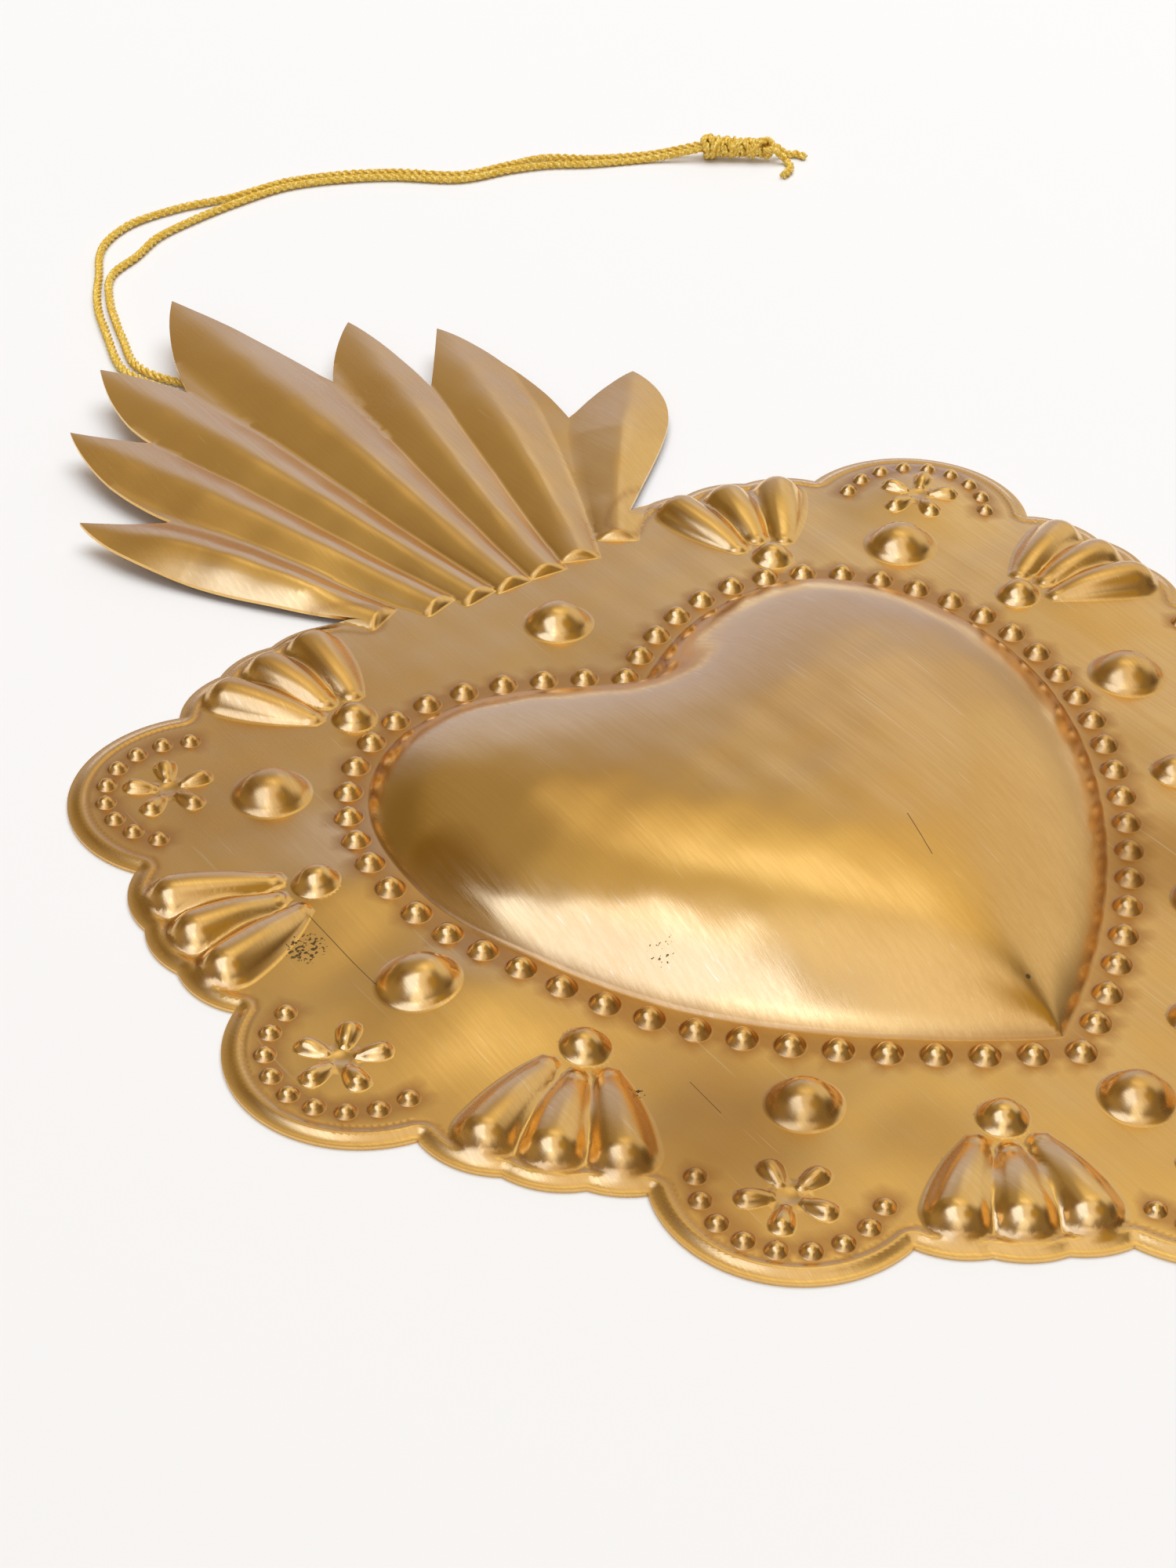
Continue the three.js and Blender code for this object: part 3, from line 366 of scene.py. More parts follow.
def mark_place(mark, p):
    """Distance of each point from a mark's axis, the radius there, and how far the root has risen."""
    a, b, a_radius, b_radius = mark[:4]
    d = b - a
    t = np.clip((p - a) @ d / (d @ d + TINY), 0, 1)
    grown = 1 - (1 - t) ** 2
    root = (a_radius / b_radius) ** ROOT_FADE
    off = np.linalg.norm(p - a - t[:, None] * d, axis=1)
    return off, a_radius + (b_radius - a_radius) * grown, root + (1 - root) * grown


def mark_rise(mark, p):
    height, foot = mark[4:]
    off, radius, risen = mark_place(mark, p)
    share = (off / radius) ** (MARK_ROUND / 2)
    hollow = np.maximum(1 / foot - share, 0) ** 2 * foot / max(1 / foot - foot, TINY)
    return height * risen * np.where(share < foot, 1 - share ** 2, hollow)


def marks_rise(p):
    rise = np.zeros(len(p))
    for mark in marks:
        reach = mark[3] / mark[5] + np.linalg.norm(mark[1] - mark[0]) / 2
        near = np.abs(p - (mark[0] + mark[1]) / 2).max(axis=1) < reach
        rise[near] += mark_rise(mark, p[near])
    return rise


# Flutes: a ridge from each nose to its tip, widest part of the way along
ridges = []
for nose, bend, half, rise, _ in FLAMES:
    start = on_sheet(*nose)
    curve = np.concatenate([start[None], bezier([start, on_sheet(*bend), on_sheet(*rise[-1])], RIDGE_POINTS)])
    ridges.append((curve, half * SHEET_WIDTH))


def ridge_half(widest, share):
    return FLUTE_ROOT_HALF + (widest - FLUTE_ROOT_HALF) * np.minimum(share / FLUTE_WIDEST, 1)


def ridge_rise(ridge, p):
    """Height of one flute, which ends in a short rounded lip before its nose."""
    line, widest = ridge
    best, share, past = np.full(len(p), np.inf), np.zeros(len(p)), np.zeros(len(p))
    for i, (a, b) in enumerate(zip(line[:-1], line[1:])):
        d = b - a
        along = (p - a) @ d / (d @ d)
        t = np.clip(along, 0, 1)
        far = np.linalg.norm(p - a - t[:, None] * d, axis=1)
        closer = far < best
        best = np.where(closer, far, best)
        share = np.where(closer, (i + t) / (len(line) - 1), share)
        past = np.where(closer, np.maximum(-along, 0) * np.linalg.norm(d) * (i == 0), past)
    half = ridge_half(widest, share)
    off = np.sqrt(np.maximum(best ** 2 - past ** 2, 0)) / half
    bend = FLUTE_ROUND + (ROOT_ROUND - FLUTE_ROUND) * (1 - eased(share, 0, ROOT_ROUND_SHARE))
    fall = (np.hypot(off, bend) - bend) / (np.hypot(1, bend) - bend)
    lip = np.maximum(1 - (past / NOSE_REACH) ** 2, 0)
    return FLUTE_SLOPE * half * (1 - FLUTE_FADE * share ** 2) * (1 - fall) * lip


def flute_rise(p):
    rise = np.zeros(len(p))
    near = p[:, 1] > FLAME_ROOT - FLUTE_LEAD
    rise[near] = np.maximum(np.max([ridge_rise(ridge, p[near]) for ridge in ridges], axis=0), 0)
    return rise


def flame_lift(y):
    bent = np.clip((y - FLAME_ROOT) / FLAME_BEND, 0, 1)
    straight = np.maximum(y - FLAME_ROOT - FLAME_BEND, 0)
    return math.tan(math.radians(FLAME_TILT)) * (FLAME_BEND * bent ** 2 / 2 + straight)


border_loop = border_line(0, BORDER_LOOP_STEP)
corners = border_loop[[0, -1]]


def rim_shape(p):
    d = border_distance(p)
    ridge = RIM_RIDGE * np.exp(-((d - RIM_RIDGE_AT) / RIM_RIDGE_HALF) ** 2)
    crease = RIM_CREASE * np.exp(-((d - RIM_CREASE_AT) / RIM_CREASE_HALF) ** 2)
    roll = RIM_DROP * (1 - eased(d, RIM_FOOT, RIM_WIDTH))
    to_corner = np.minimum(*[np.linalg.norm(p - corner, axis=1) for corner in corners])
    beyond = (d > RIM_SLACK) & ~inside(border_loop, p)
    return np.where(beyond, 0, (ridge - crease - roll) * eased(to_corner, RIM_END, RIM_START))


# Shallow bulges left by hand work on the plain face and the first flame: place, spread and height
BULGES = [
    ((-50.5, 26.5), 7.5, 1.3), ((-50, 2), 8.0, 1.6), ((65, 25), 7.5, 1.1), ((62.5, 58), 7.0, 1.1),
    ((-35, -22), 9.0, -0.4), ((-38.5, 98.5), 4.5, -0.7), ((-36.5, 90), 4.5, -0.7),
    ((-33.5, 82.5), 4.0, -0.5), ((-35.5, 103.3), 4.5, 1.0), ((-30.5, 95), 4.5, 1.0),
    ((-25.9, 86.9), 4.0, 0.7),
]
# Waves: height, then two that cross, each as radians per millimetre along x and y and a phase
WAVES = [
    (0.09, (0.083, 0.041, 1.1), (-0.05, 0.067, math.pi / 2)),
    (0.045, (0.19, -0.13, 0), (0, 0.16, 0.4)),
    (0.0315, (0.43, 0.21, 0.5), (-0.26, 0.37, 1.9)),
    (0.018, (0.71, -0.33, 2.2), (0.41, 0.52, 0)),
]
CALM_BORDER = 6.0  # distance from the cut edge at which the unevenness is full
SLOPE_STEP = 0.04  # half the distance over which a slope is measured


def wave(p, along_x, along_y, phase):
    return np.sin(along_x * p[:, 0] + along_y * p[:, 1] + phase)


def hand_waves(p):
    """The slight unevenness of a sheet pressed by hand."""
    waves = sum(height * wave(p, *first) * wave(p, *second) for height, first, second in WAVES)
    for place, spread, height in BULGES:
        waves += height * np.exp(-((p - place) ** 2).sum(axis=1) / (2 * spread ** 2))
    return waves


def relief(p):
    """Height of the sheet's face above the surface that it lies on."""
    calm = np.clip(border_distance(p) / CALM_BORDER, 0, 1)
    return (FACE_HEIGHT + rim_shape(p) + flame_lift(p[:, 1]) + dome_rise(p) + flute_rise(p) + marks_rise(p)
            + hand_waves(p) * calm)


def relief_normals(p):
    dx, dy = np.array([SLOPE_STEP, 0]), np.array([0, SLOPE_STEP])
    slope_x = (relief(p + dx) - relief(p - dx)) / (2 * SLOPE_STEP)
    slope_y = (relief(p + dy) - relief(p - dy)) / (2 * SLOPE_STEP)
    normals = np.stack([-slope_x, -slope_y, np.ones(len(p))], axis=1)
    return normals / np.linalg.norm(normals, axis=1)[:, None]


# Points of the sheet: steps along lines and grids, offsets of lines side by side, and least gaps
EDGE_STEP = 0.75
VALLEY_STEP, VALLEY_GAP, VALLEY_SIDES, VALLEY_SIDE_GAP = 0.7, 0.3, (-0.35, 0.35), 0.25
VALLEY_HALVINGS = 30
DOME_EDGE_STEP, DOME_EDGE_GAP = 0.65, 0.28
DOME_EDGE_OFFSETS = (0, 0.3, -0.35, -0.8, -1.4, -2.2, -3.2)
MARK_STEP, MARK_STEPS_PER_RADIUS, MARK_GAP_SHARE, MARK_GAP = 0.6, 3.6, 0.57, 0.24
MARK_SIDE_STRETCH, FOOT_MARGIN, CRISP_MARGIN = 1.3, 0.1, 0.7
LEAST_RING, LEAST_HEAD, ROOT_ARC = 7, 4, 4
RIM_STEP, RIM_GAP = 0.8, 0.24
RIM_INSETS = (0.3, 0.6, 0.9, 1.2, 1.45, 1.7, 1.95, 2.2, 2.45, 2.75, 3.1)
RIDGE_OFFSETS = (0, -0.12, 0.12, -0.26, 0.26, -0.45, 0.45, -0.65, 0.65, -0.85, 0.85, -1, 1, -1.12, 1.12)
RIDGE_GAP = 0.48
NOSE_SHARES, NOSE_WIDTH, NOSE_POINTS, NOSE_GAP = (0.3, 0.55, 0.75, 0.9, 1, 1.15), 1.1, 19, 0.2
CORNER_REACH, CORNER_STEP, CORNER_GAP = 4, 0.4, 0.3
FLAME_GRID_LEAD, FLAME_GRID_STEP, FLAME_GRID_GAP = 6, 1.2, 0.75
FACE_GRID_STEP, FACE_GRID_GAP = 1.55, 0.95
border = border_line(0, EDGE_STEP)
outline = np.concatenate([border, flame_line(border[-1], border[0], EDGE_STEP)[:-1]])
sheet_middle = np.array([0, (outline[:, 1].min() + outline[:, 1].max()) / 2])


class Spread:
    """Points kept a least gap apart."""

    def __init__(self, points, cell=0.6):
        self.points, self.cell, self.cells = [], cell, {}
        for p in points:
            self.keep(p)

    def keep(self, p):
        self.points.append(p)
        self.cells.setdefault((int(p[0] // self.cell), int(p[1] // self.cell)), []).append(p)

    def crowded(self, p, gap):
        reach = math.ceil(gap / self.cell)
        cx, cy = int(p[0] // self.cell), int(p[1] // self.cell)
        for i in range(cx - reach, cx + reach + 1):
            for j in range(cy - reach, cy + reach + 1):
                for q in self.cells.get((i, j), ()):
                    if (q[0] - p[0]) ** 2 + (q[1] - p[1]) ** 2 < gap * gap:
                        return True
        return False

    def add(self, points, gap):
        points = np.asarray(points)
        for p in points[inside(outline, points)]:
            if not self.crowded(p, gap):
                self.keep(p)


def mark_step(mark):
    return min(MARK_STEP, mark[3] / MARK_STEPS_PER_RADIUS)


def round_ring(centre, radius, share, step):
    count = max(round(2 * math.pi * radius * share / step), LEAST_RING)
    shift = 0.5 * (share > 0.5)
    return [polar(centre, radius * share, 360 * (i + shift) / count) for i in range(count)]


def tapered_ring(mark, share, step):
    """A ring round a tapered mark: its head, both sides with the middle, and its root."""
    a, b, a_radius, b_radius = mark[:4]
    across = b - a
    length = np.linalg.norm(across)
    bearing = math.degrees(math.atan2(across[1], across[0]))
    side = np.array([-across[1], across[0]]) / length
    count = max(round(math.pi * b_radius * share / step), LEAST_HEAD)
    points = [polar(b, b_radius * share, bearing - 90 + 180 * i / count) for i in range(count + 1)]
    count = round(length / (MARK_SIDE_STRETCH * step))
    for i in range(count):
        t = i / count
        radius = (a_radius + (b_radius - a_radius) * (1 - (1 - t) ** 2)) * share
        middle = a + across * t
        points += [middle + side * radius, middle - side * radius, middle]
    root = [polar(a, a_radius * share, bearing + 90 + 180 * i / ROOT_ARC) for i in range(ROOT_ARC + 1)]
    return points + root


def mark_points(mark):
    """Rings round a mark, from its middle to just past its foot."""
    a, b, _, b_radius, _, foot = mark
    step = mark_step(mark)
    rings = round(b_radius / step)
    past = [1 + CRISP_MARGIN * step / b_radius]
    if foot < 1:
        past = [0.5 + 0.5 / foot, 1 / foot, 1 / foot + FOOT_MARGIN]
    tapered = np.linalg.norm(b - a) > 0
    points = [b]
    for share in [*np.linspace(1 / rings, 1, rings), *past]:
        points += tapered_ring(mark, share, step) if tapered else round_ring(b, b_radius, share, step)
    return np.array(points)


def grid_points(low, high, step):
    points = []
    for row, y in enumerate(np.arange(low[1], high[1], step * math.sin(math.radians(60)))):
        points += [(x, y) for x in np.arange(low[0] + row % 2 * step / 2, high[0], step)]
    return np.array(points)


def side_of(line):
    """Unit vectors to the left of a line at each of its points."""
    step = np.gradient(line, axis=0)
    return np.stack([-step[:, 1], step[:, 0]], axis=1) / np.linalg.norm(step, axis=1)[:, None]


def valley_lines():
    """The lines where neighbouring flutes meet."""
    lines = []
    for left, right in zip(ridges[:-1], ridges[1:]):
        low, high = left[0].copy(), right[0].copy()
        for _ in range(VALLEY_HALVINGS):
            middle = (low + high) / 2
            nearer_left = (ridge_rise(left, middle) > ridge_rise(right, middle))[:, None]
            low, high = np.where(nearer_left, middle, low), np.where(nearer_left, high, middle)
        met = (low + high) / 2
        lines.append(met[np.minimum(ridge_rise(left, met), ridge_rise(right, met)) > 0])
    return [respaced(line, math.ceil(line_length(line) / VALLEY_STEP)) for line in lines if len(line) > 2]


valleys = valley_lines()


def nose_points(line, share):
    """A row of points across a flute's nose, a share of its reach before the ridge's first point."""
    ahead = line[1] - line[0]
    ahead = ahead / np.linalg.norm(ahead)
    across = FLUTE_ROOT_HALF * np.array([-ahead[1], ahead[0]])
    middle = line[0] - NOSE_REACH * share * ahead
    return [middle + across * off for off in np.linspace(-NOSE_WIDTH, NOSE_WIDTH, NOSE_POINTS)]


def sheet_points():
    """Cut edge, valleys, dome edge, punched marks, rim, flutes, corners, then the plain face."""
    spread = Spread(outline)
    for line in valleys:
        spread.add(line, VALLEY_GAP)
        for off in VALLEY_SIDES:
            spread.add(line + side_of(line) * off, VALLEY_SIDE_GAP)
    loop = np.concatenate([dome_loop, dome_loop[:1]])
    loop = respaced(loop, round(line_length(loop) / DOME_EDGE_STEP))[:-1]
    for off in DOME_EDGE_OFFSETS:
        spread.add(loop + side_of(loop) * off, DOME_EDGE_GAP)
    for mark in marks:
        spread.add(mark_points(mark), min(MARK_GAP_SHARE * mark_step(mark), MARK_GAP))
    for inset in RIM_INSETS:
        spread.add(border_line(inset, RIM_STEP), RIM_GAP)
    for line, widest in ridges:
        half = ridge_half(widest, np.linspace(0, 1, len(line)))[:, None]
        for off in RIDGE_OFFSETS:
            spread.add(line + side_of(line) * half * off, RIDGE_GAP)
        for share in NOSE_SHARES:
            spread.add(nose_points(line, share), NOSE_GAP)
    for corner in corners:
        spread.add(grid_points(corner - CORNER_REACH, corner + CORNER_REACH, CORNER_STEP), CORNER_GAP)
    low, high = outline.min(axis=0), outline.max(axis=0)
    flame_low = np.array([low[0], FLAME_ROOT - FLAME_GRID_LEAD])
    spread.add(grid_points(flame_low, high, FLAME_GRID_STEP), FLAME_GRID_GAP)
    spread.add(grid_points(low, high, FACE_GRID_STEP), FACE_GRID_GAP)
    return np.array(spread.points)


# Dark lines at feet that polish doesn't reach, at the rim's crease, the dome's edge and each kind of mark:
# strength and half width
CREASE_SHADE, CREASE_SHADE_HALF = 0.7, 0.5
DOME_SHADE, DOME_SHADE_HALF, DOME_SHADE_POINTS = 0.8, 0.8, 500
MARK_SHADES = {BEAD_FOOT: 1, PETAL_FOOT: 0.08, BOSS_FOOT: 0.12}
MARK_SHADE_OFF, MARK_SHADE_HALF, MARK_SHADE_REACH = 0.25, 0.4, 1.5
BATCH = 4000  # points measured at a time


def foot_share(p):
    """How close each point is to the foot of a mark or of the dome, or to the rim's crease."""
    share = np.exp(-((border_distance(p) - RIM_CREASE_AT) / CREASE_SHADE_HALF) ** 2) * CREASE_SHADE
    loop = respaced(np.concatenate([dome_loop, dome_loop[:1]]), DOME_SHADE_POINTS)
    for i in range(0, len(p), BATCH):
        gap = np.sqrt(((p[i:i + BATCH, None] - loop) ** 2).sum(axis=2)).min(axis=1)
        near_dome = DOME_SHADE * np.exp(-(gap / DOME_SHADE_HALF) ** 2)
        share[i:i + BATCH] = np.maximum(share[i:i + BATCH], near_dome)
    for mark in marks:
        a, b = mark[:2]
        reach = mark[3] + np.linalg.norm(b - a) / 2 + MARK_SHADE_REACH
        near = np.abs(p - (a + b) / 2).max(axis=1) < reach
        off, radius, _ = mark_place(mark, p[near])
        line = np.exp(-((off - radius - MARK_SHADE_OFF) / MARK_SHADE_HALF) ** 2)
        share[near] = np.maximum(share[near], MARK_SHADES[mark[5]] * line)
    return share


class Nodes:
    """A node tree whose maths is written as Python expressions on its sockets."""

    def __init__(self, tree):
        self.tree = tree

    def node(self, kind, settings=None, inputs=None, output=0):
        made = self.tree.nodes.new("ShaderNode" + kind)
        for name, value in (settings or {}).items():
            setattr(made, name, value)
        for name, value in (inputs or {}).items():
            self.feed(made.inputs[name], value)
        return Value(self, made.outputs[output])

    def feed(self, socket, value):
        if isinstance(value, Value):
            self.tree.links.new(value.socket, socket)
        elif isinstance(value, tuple) and len(value) == 3 and socket.type == "RGBA":
            socket.default_value = (*value, 1)
        else:
            socket.default_value = value

    def mix(self, share, low, high):
        return self.node("Mix", {"data_type": "RGBA"}, {0: share, 6: low, 7: high}, 2)

    def noise(self, place, scale, stretch=(1, 1, 1), detail=2.0, turn=0.0):
        turned = self.node("Mapping", None, {"Vector": place, "Rotation": (0, 0, turn), "Scale": stretch})
        return self.node("TexNoise", None, {"Vector": turned, "Scale": scale, "Detail": detail})

    def smooth(self, value, low, high):
        return self.node("MapRange", {"interpolation_type": "SMOOTHSTEP"}, {0: value, 1: low, 2: high})

    def bump(self, height, strength, depth):
        return self.node("Bump", None, {"Strength": strength, "Distance": depth, "Height": height})


class Value:
    """A socket that takes part in Python arithmetic."""

    def __init__(self, nodes, socket):
        self.nodes, self.socket = nodes, socket

    def maths(self, operation, *others):
        return self.nodes.node("Math", {"operation": operation}, dict(enumerate((self, *others))))

    def __add__(self, other):
        return self.maths("ADD", other)

    def __sub__(self, other):
        return self.maths("SUBTRACT", other)

    def __rsub__(self, other):
        return self.nodes.node("Math", {"operation": "SUBTRACT"}, {0: other, 1: self})

    def __mul__(self, other):
        return self.maths("MULTIPLY", other)

    __radd__, __rmul__ = __add__, __mul__

    def least(self, other):
        return self.maths("MINIMUM", other)

    def most(self, other):
        return self.maths("MAXIMUM", other)


def new_finish(name):
    material = bpy.data.materials.new(name)
    material.use_nodes = True
    nodes = Nodes(material.node_tree)
    shader = material.node_tree.nodes["Principled BSDF"]
    return material, nodes, shader


def scene_place(x, y):
    """A place of the layout, in millimetres, as metres in the part's frame."""
    return (x - sheet_middle[0]) * MM, (y - sheet_middle[1]) * MM


# Colours of the finishes
BRASS = (0.91, 0.61, 0.24)
BRASS_DEEP = (0.68, 0.38, 0.11)
BRASS_FOOT = (0.42, 0.18, 0.05)
BRASS_DULL = (0.46, 0.24, 0.06)
BRASS_PALE = (0.98, 0.86, 0.6)
TARNISH = (0.10, 0.065, 0.035)
# The twine's second colour is a painted glint: a pale colour that stands in for sparkle highlights
TWINE_DEEP, TWINE_PAINTED_GLINT = (0.78, 0.49, 0.045), (1.0, 0.82, 0.27)
SOLDER_DARK, SOLDER_LIGHT = (0.30, 0.29, 0.27), (0.55, 0.54, 0.51)

# Brushed lines: stretch along x, y and z, detail, and turn in radians
BRUSHED, BRUSHED_FINE = ((2400, 40, 700), 3, 0.07), ((8000, 120, 2500), 2, -0.05)
STRAY_LINES = ((2600, 60, 900), 1, 0.5)
BRUSHED_SHARE, FINE_SHARE = 0.55, 0.45
# Grain and cloud: scale of the noise, as repeats to the metre
CLOUD_SCALE, BROAD_SCALE, FLECK_SCALE, TWINE_SCALE, SOLDER_SCALE = 34, 11, 2200, 2600, 900

# Noise levels between which a tone, a brushed streak, a stray line and a painted glint of twine come in
TONE_RANGE, STREAK_RANGE, STRAY_RANGE, PAINTED_GLINT_RANGE = (0.38, 0.64), (0.36, 0.62), (0.72, 0.76), (0.46, 0.66)
TONE_STRENGTH, STREAK_STRENGTH, STRAY_STRENGTH, FOOT_STRENGTH = 0.45, 0.16, 0.25, 0.6
# Roughness of plain brass, and what is added to it
ROUGH, STREAK_ROUGH, TONE_ROUGH, FACE_ROUGH = 0.13, 0.06, 0.05, 0.06
FOOT_ROUGH, DULL_ROUGH, WEAR_ROUGH = 0.1, 0.1, 0.3
# Roughness of dull twine and what it loses where glints are painted, roughness of solder and what its grain
# adds
TWINE_ROUGH, GLINT_SMOOTH, SOLDER_ROUGH, SOLDER_GRAIN_ROUGH = 0.55, 0.25, 0.35, 0.3
TWINE_METALLIC = 0.2
# Bump: strength and depth in metres
BRUSHED_BUMP, TWINE_BUMP = (0.18, 0.00004), (0.5, 0.0001)

# Wear, in layout millimetres. Dark flecks: place, spread and least grain
FLECKS = [
    ((-62.2, 20.1), 3.7, 0.525), ((-44.3, -21.0), 1.5, 0.56),
    ((-30.8, -7.0), 2.6, 0.6), ((0.2, -34.3), 0.42, 0.0),
]
# Duller patches: place, spread and strength
DULL = [
    ((-41, -31), 16.0, 0.75), ((31, -24), 13.0, 0.7), ((-57, 48), 12.0, 0.3), ((2, 50), 13.0, 0.25),
    ((44, -6), 10.0, 0.3), ((-23, -44), 9.0, 0.5),
]
# Scratches: two ends and half width
SCRATCHES = [
    ((-59.2, 24.4), (-59.0, 9.6), 0.09),
    ((-38.4, -22.8), (-38.6, -28.7), 0.07),
    ((3.0, -9.2), (1.1, -16.0), 0.09),
]
SCRATCH_STRENGTH, FLECK_STRENGTH, FLECK_EDGE = 0.75, 0.9, 0.03
# Shares of its spread up to which a mark of wear is full
SCRATCH_CORE, FLECK_CORE, DULL_CORE = 0.4, 0.5, 0.2
# Share of the grain at a fleck's edge and what its middle adds, share of a dull patch and what cloud adds
FLECK_OUTER, FLECK_INNER, DULL_PLAIN, DULL_CLOUD = 0.6, 0.4, 0.6, 0.6


def distance(off_x, off_y):
    return (off_x * off_x + off_y * off_y).maths("SQRT")


def scratch_mask(nodes, x, y, ends):
    """1 on a straight scratch, 0 beyond its half width."""
    (ax, ay), (bx, by) = (scene_place(*end) for end in ends[:2])
    dx, dy = bx - ax, by - ay
    along = ((x - ax) * dx + (y - ay) * dy) * (1 / (dx * dx + dy * dy))
    along = along.most(0).least(1)
    off = distance(x - ax - along * dx, y - ay - along * dy)
    return 1 - nodes.smooth(off, ends[2] * MM * SCRATCH_CORE, ends[2] * MM)


def fleck_mask(nodes, x, y, grain, fleck):
    """1 on the specks of one dark patch."""
    place, spread, least = fleck
    cx, cy = scene_place(*place)
    off = distance(x - cx, y - cy)
    within = 1 - nodes.smooth(off, spread * MM * FLECK_CORE, spread * MM)
    return within * nodes.smooth(grain * (FLECK_OUTER + FLECK_INNER * within), least, least + FLECK_EDGE)


def dull_mask(nodes, x, y, patch):
    """A patch's strength at its middle, and 0 beyond its spread."""
    (cx, cy), spread, strength = scene_place(*patch[0]), patch[1] * MM, patch[2]
    off = distance(x - cx, y - cy)
    return (1 - nodes.smooth(off, spread * DULL_CORE, spread)) * strength


def brass_finish(name, worn):
    """Brushed brass; a worn one also has dark feet, dull patches, scratches and flecks."""
    material, nodes, shader = new_finish(name)
    place = nodes.node("TexCoord", None, None, 3)
    brush = nodes.noise(place, 1.0, *BRUSHED)
    fine = nodes.noise(place, 1.0, *BRUSHED_FINE)
    stray = nodes.noise(place, 1.0, *STRAY_LINES)
    cloud = nodes.noise(place, CLOUD_SCALE, detail=5)
    broad = nodes.noise(place, BROAD_SCALE, detail=3)
    lines = brush * BRUSHED_SHARE + fine * FINE_SHARE
    tone = nodes.smooth(cloud * 0.5 + broad * 0.5, *TONE_RANGE)
    streak = nodes.smooth(lines, *STREAK_RANGE)
    colour = nodes.mix(tone * TONE_STRENGTH + streak * STREAK_STRENGTH, BRASS, BRASS_DEEP)
    rough = ROUGH + STREAK_ROUGH * streak + TONE_ROUGH * tone
    if worn:
        foot = nodes.node("Attribute", {"attribute_name": "foot"}, None, 2)
        polish = nodes.node("Attribute", {"attribute_name": "polish"}, None, 2)
        x, y = (nodes.node("SeparateXYZ", None, {0: place}, axis) for axis in (0, 1))
        grain = nodes.noise(place, FLECK_SCALE, detail=3)
        colour = nodes.mix(foot * FOOT_STRENGTH, colour, BRASS_FOOT)
        rough = rough + FACE_ROUGH * (1 - polish) + FOOT_ROUGH * foot
        for patch in DULL:
            dull = dull_mask(nodes, x, y, patch) * (1 - polish)
            colour = nodes.mix(dull * (DULL_PLAIN + DULL_CLOUD * cloud), colour, BRASS_DULL)
            rough = rough + DULL_ROUGH * dull
        colour = nodes.mix(nodes.smooth(stray, *STRAY_RANGE) * STRAY_STRENGTH, colour, BRASS_PALE)
        marks_of_wear = scratch_mask(nodes, x, y, SCRATCHES[0]) * SCRATCH_STRENGTH
        for ends in SCRATCHES[1:]:
            marks_of_wear = marks_of_wear.most(scratch_mask(nodes, x, y, ends) * SCRATCH_STRENGTH)
        for fleck in FLECKS:
            marks_of_wear = marks_of_wear.most(fleck_mask(nodes, x, y, grain, fleck) * FLECK_STRENGTH)
        colour = nodes.mix(marks_of_wear, colour, TARNISH)
        rough = rough + WEAR_ROUGH * marks_of_wear
    nodes.feed(shader.inputs["Base Color"], colour)
    nodes.feed(shader.inputs["Roughness"], rough)
    nodes.feed(shader.inputs["Normal"], nodes.bump(lines, *BRUSHED_BUMP))
    shader.inputs["Metallic"].default_value = 1.0
    return material


def twine_finish(name):
    material, nodes, shader = new_finish(name)
    place = nodes.node("TexCoord", None, None, 3)
    grain = nodes.noise(place, TWINE_SCALE, detail=2)
    # Painted glints: random specks of twine get a pale colour that stands in for sparkle highlights, and are
    # made smoother too
    painted_glint = nodes.smooth(grain, *PAINTED_GLINT_RANGE)
    nodes.feed(shader.inputs["Base Color"], nodes.mix(painted_glint, TWINE_DEEP, TWINE_PAINTED_GLINT))
    nodes.feed(shader.inputs["Roughness"], TWINE_ROUGH - GLINT_SMOOTH * painted_glint)
    nodes.feed(shader.inputs["Normal"], nodes.bump(grain, *TWINE_BUMP))
    shader.inputs["Metallic"].default_value = TWINE_METALLIC
    return material


def solder_finish(name):
    material, nodes, shader = new_finish(name)
    place = nodes.node("TexCoord", None, None, 3)
    grain = nodes.noise(place, SOLDER_SCALE, detail=3)
    nodes.feed(shader.inputs["Base Color"], nodes.mix(grain, SOLDER_DARK, SOLDER_LIGHT))
    nodes.feed(shader.inputs["Roughness"], SOLDER_ROUGH + SOLDER_GRAIN_ROUGH * grain)
    shader.inputs["Metallic"].default_value = 1.0
    return material


brass = brass_finish("hand_brushed_brass", True)
wire_brass = brass_finish("drawn_brass_wire", False)
twine_gold = twine_finish("gold_twine")
solder_grey = solder_finish("soft_solder")


def new_piece(name, vertices, faces, material):
    mesh = bpy.data.meshes.new(name)
    mesh.from_pydata([tuple(v) for v in vertices], [], faces)
    mesh.update()
    mesh.shade_smooth()
    piece = bpy.data.objects.new(name, mesh)
    bpy.context.scene.collection.objects.link(piece)
    piece.data.materials.append(material)
    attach(piece, "root")
    return piece


def in_frame(p, z):
    """Layout points in millimetres with their heights, as metres in the part's frame."""
    return np.column_stack([p - sheet_middle, z]) * MM


WELD = 1e-7  # points closer than this become one
POLISH_FROM, POLISH_FULL = 0.3, 2.5  # the dome's rise where its polish starts and where it is full


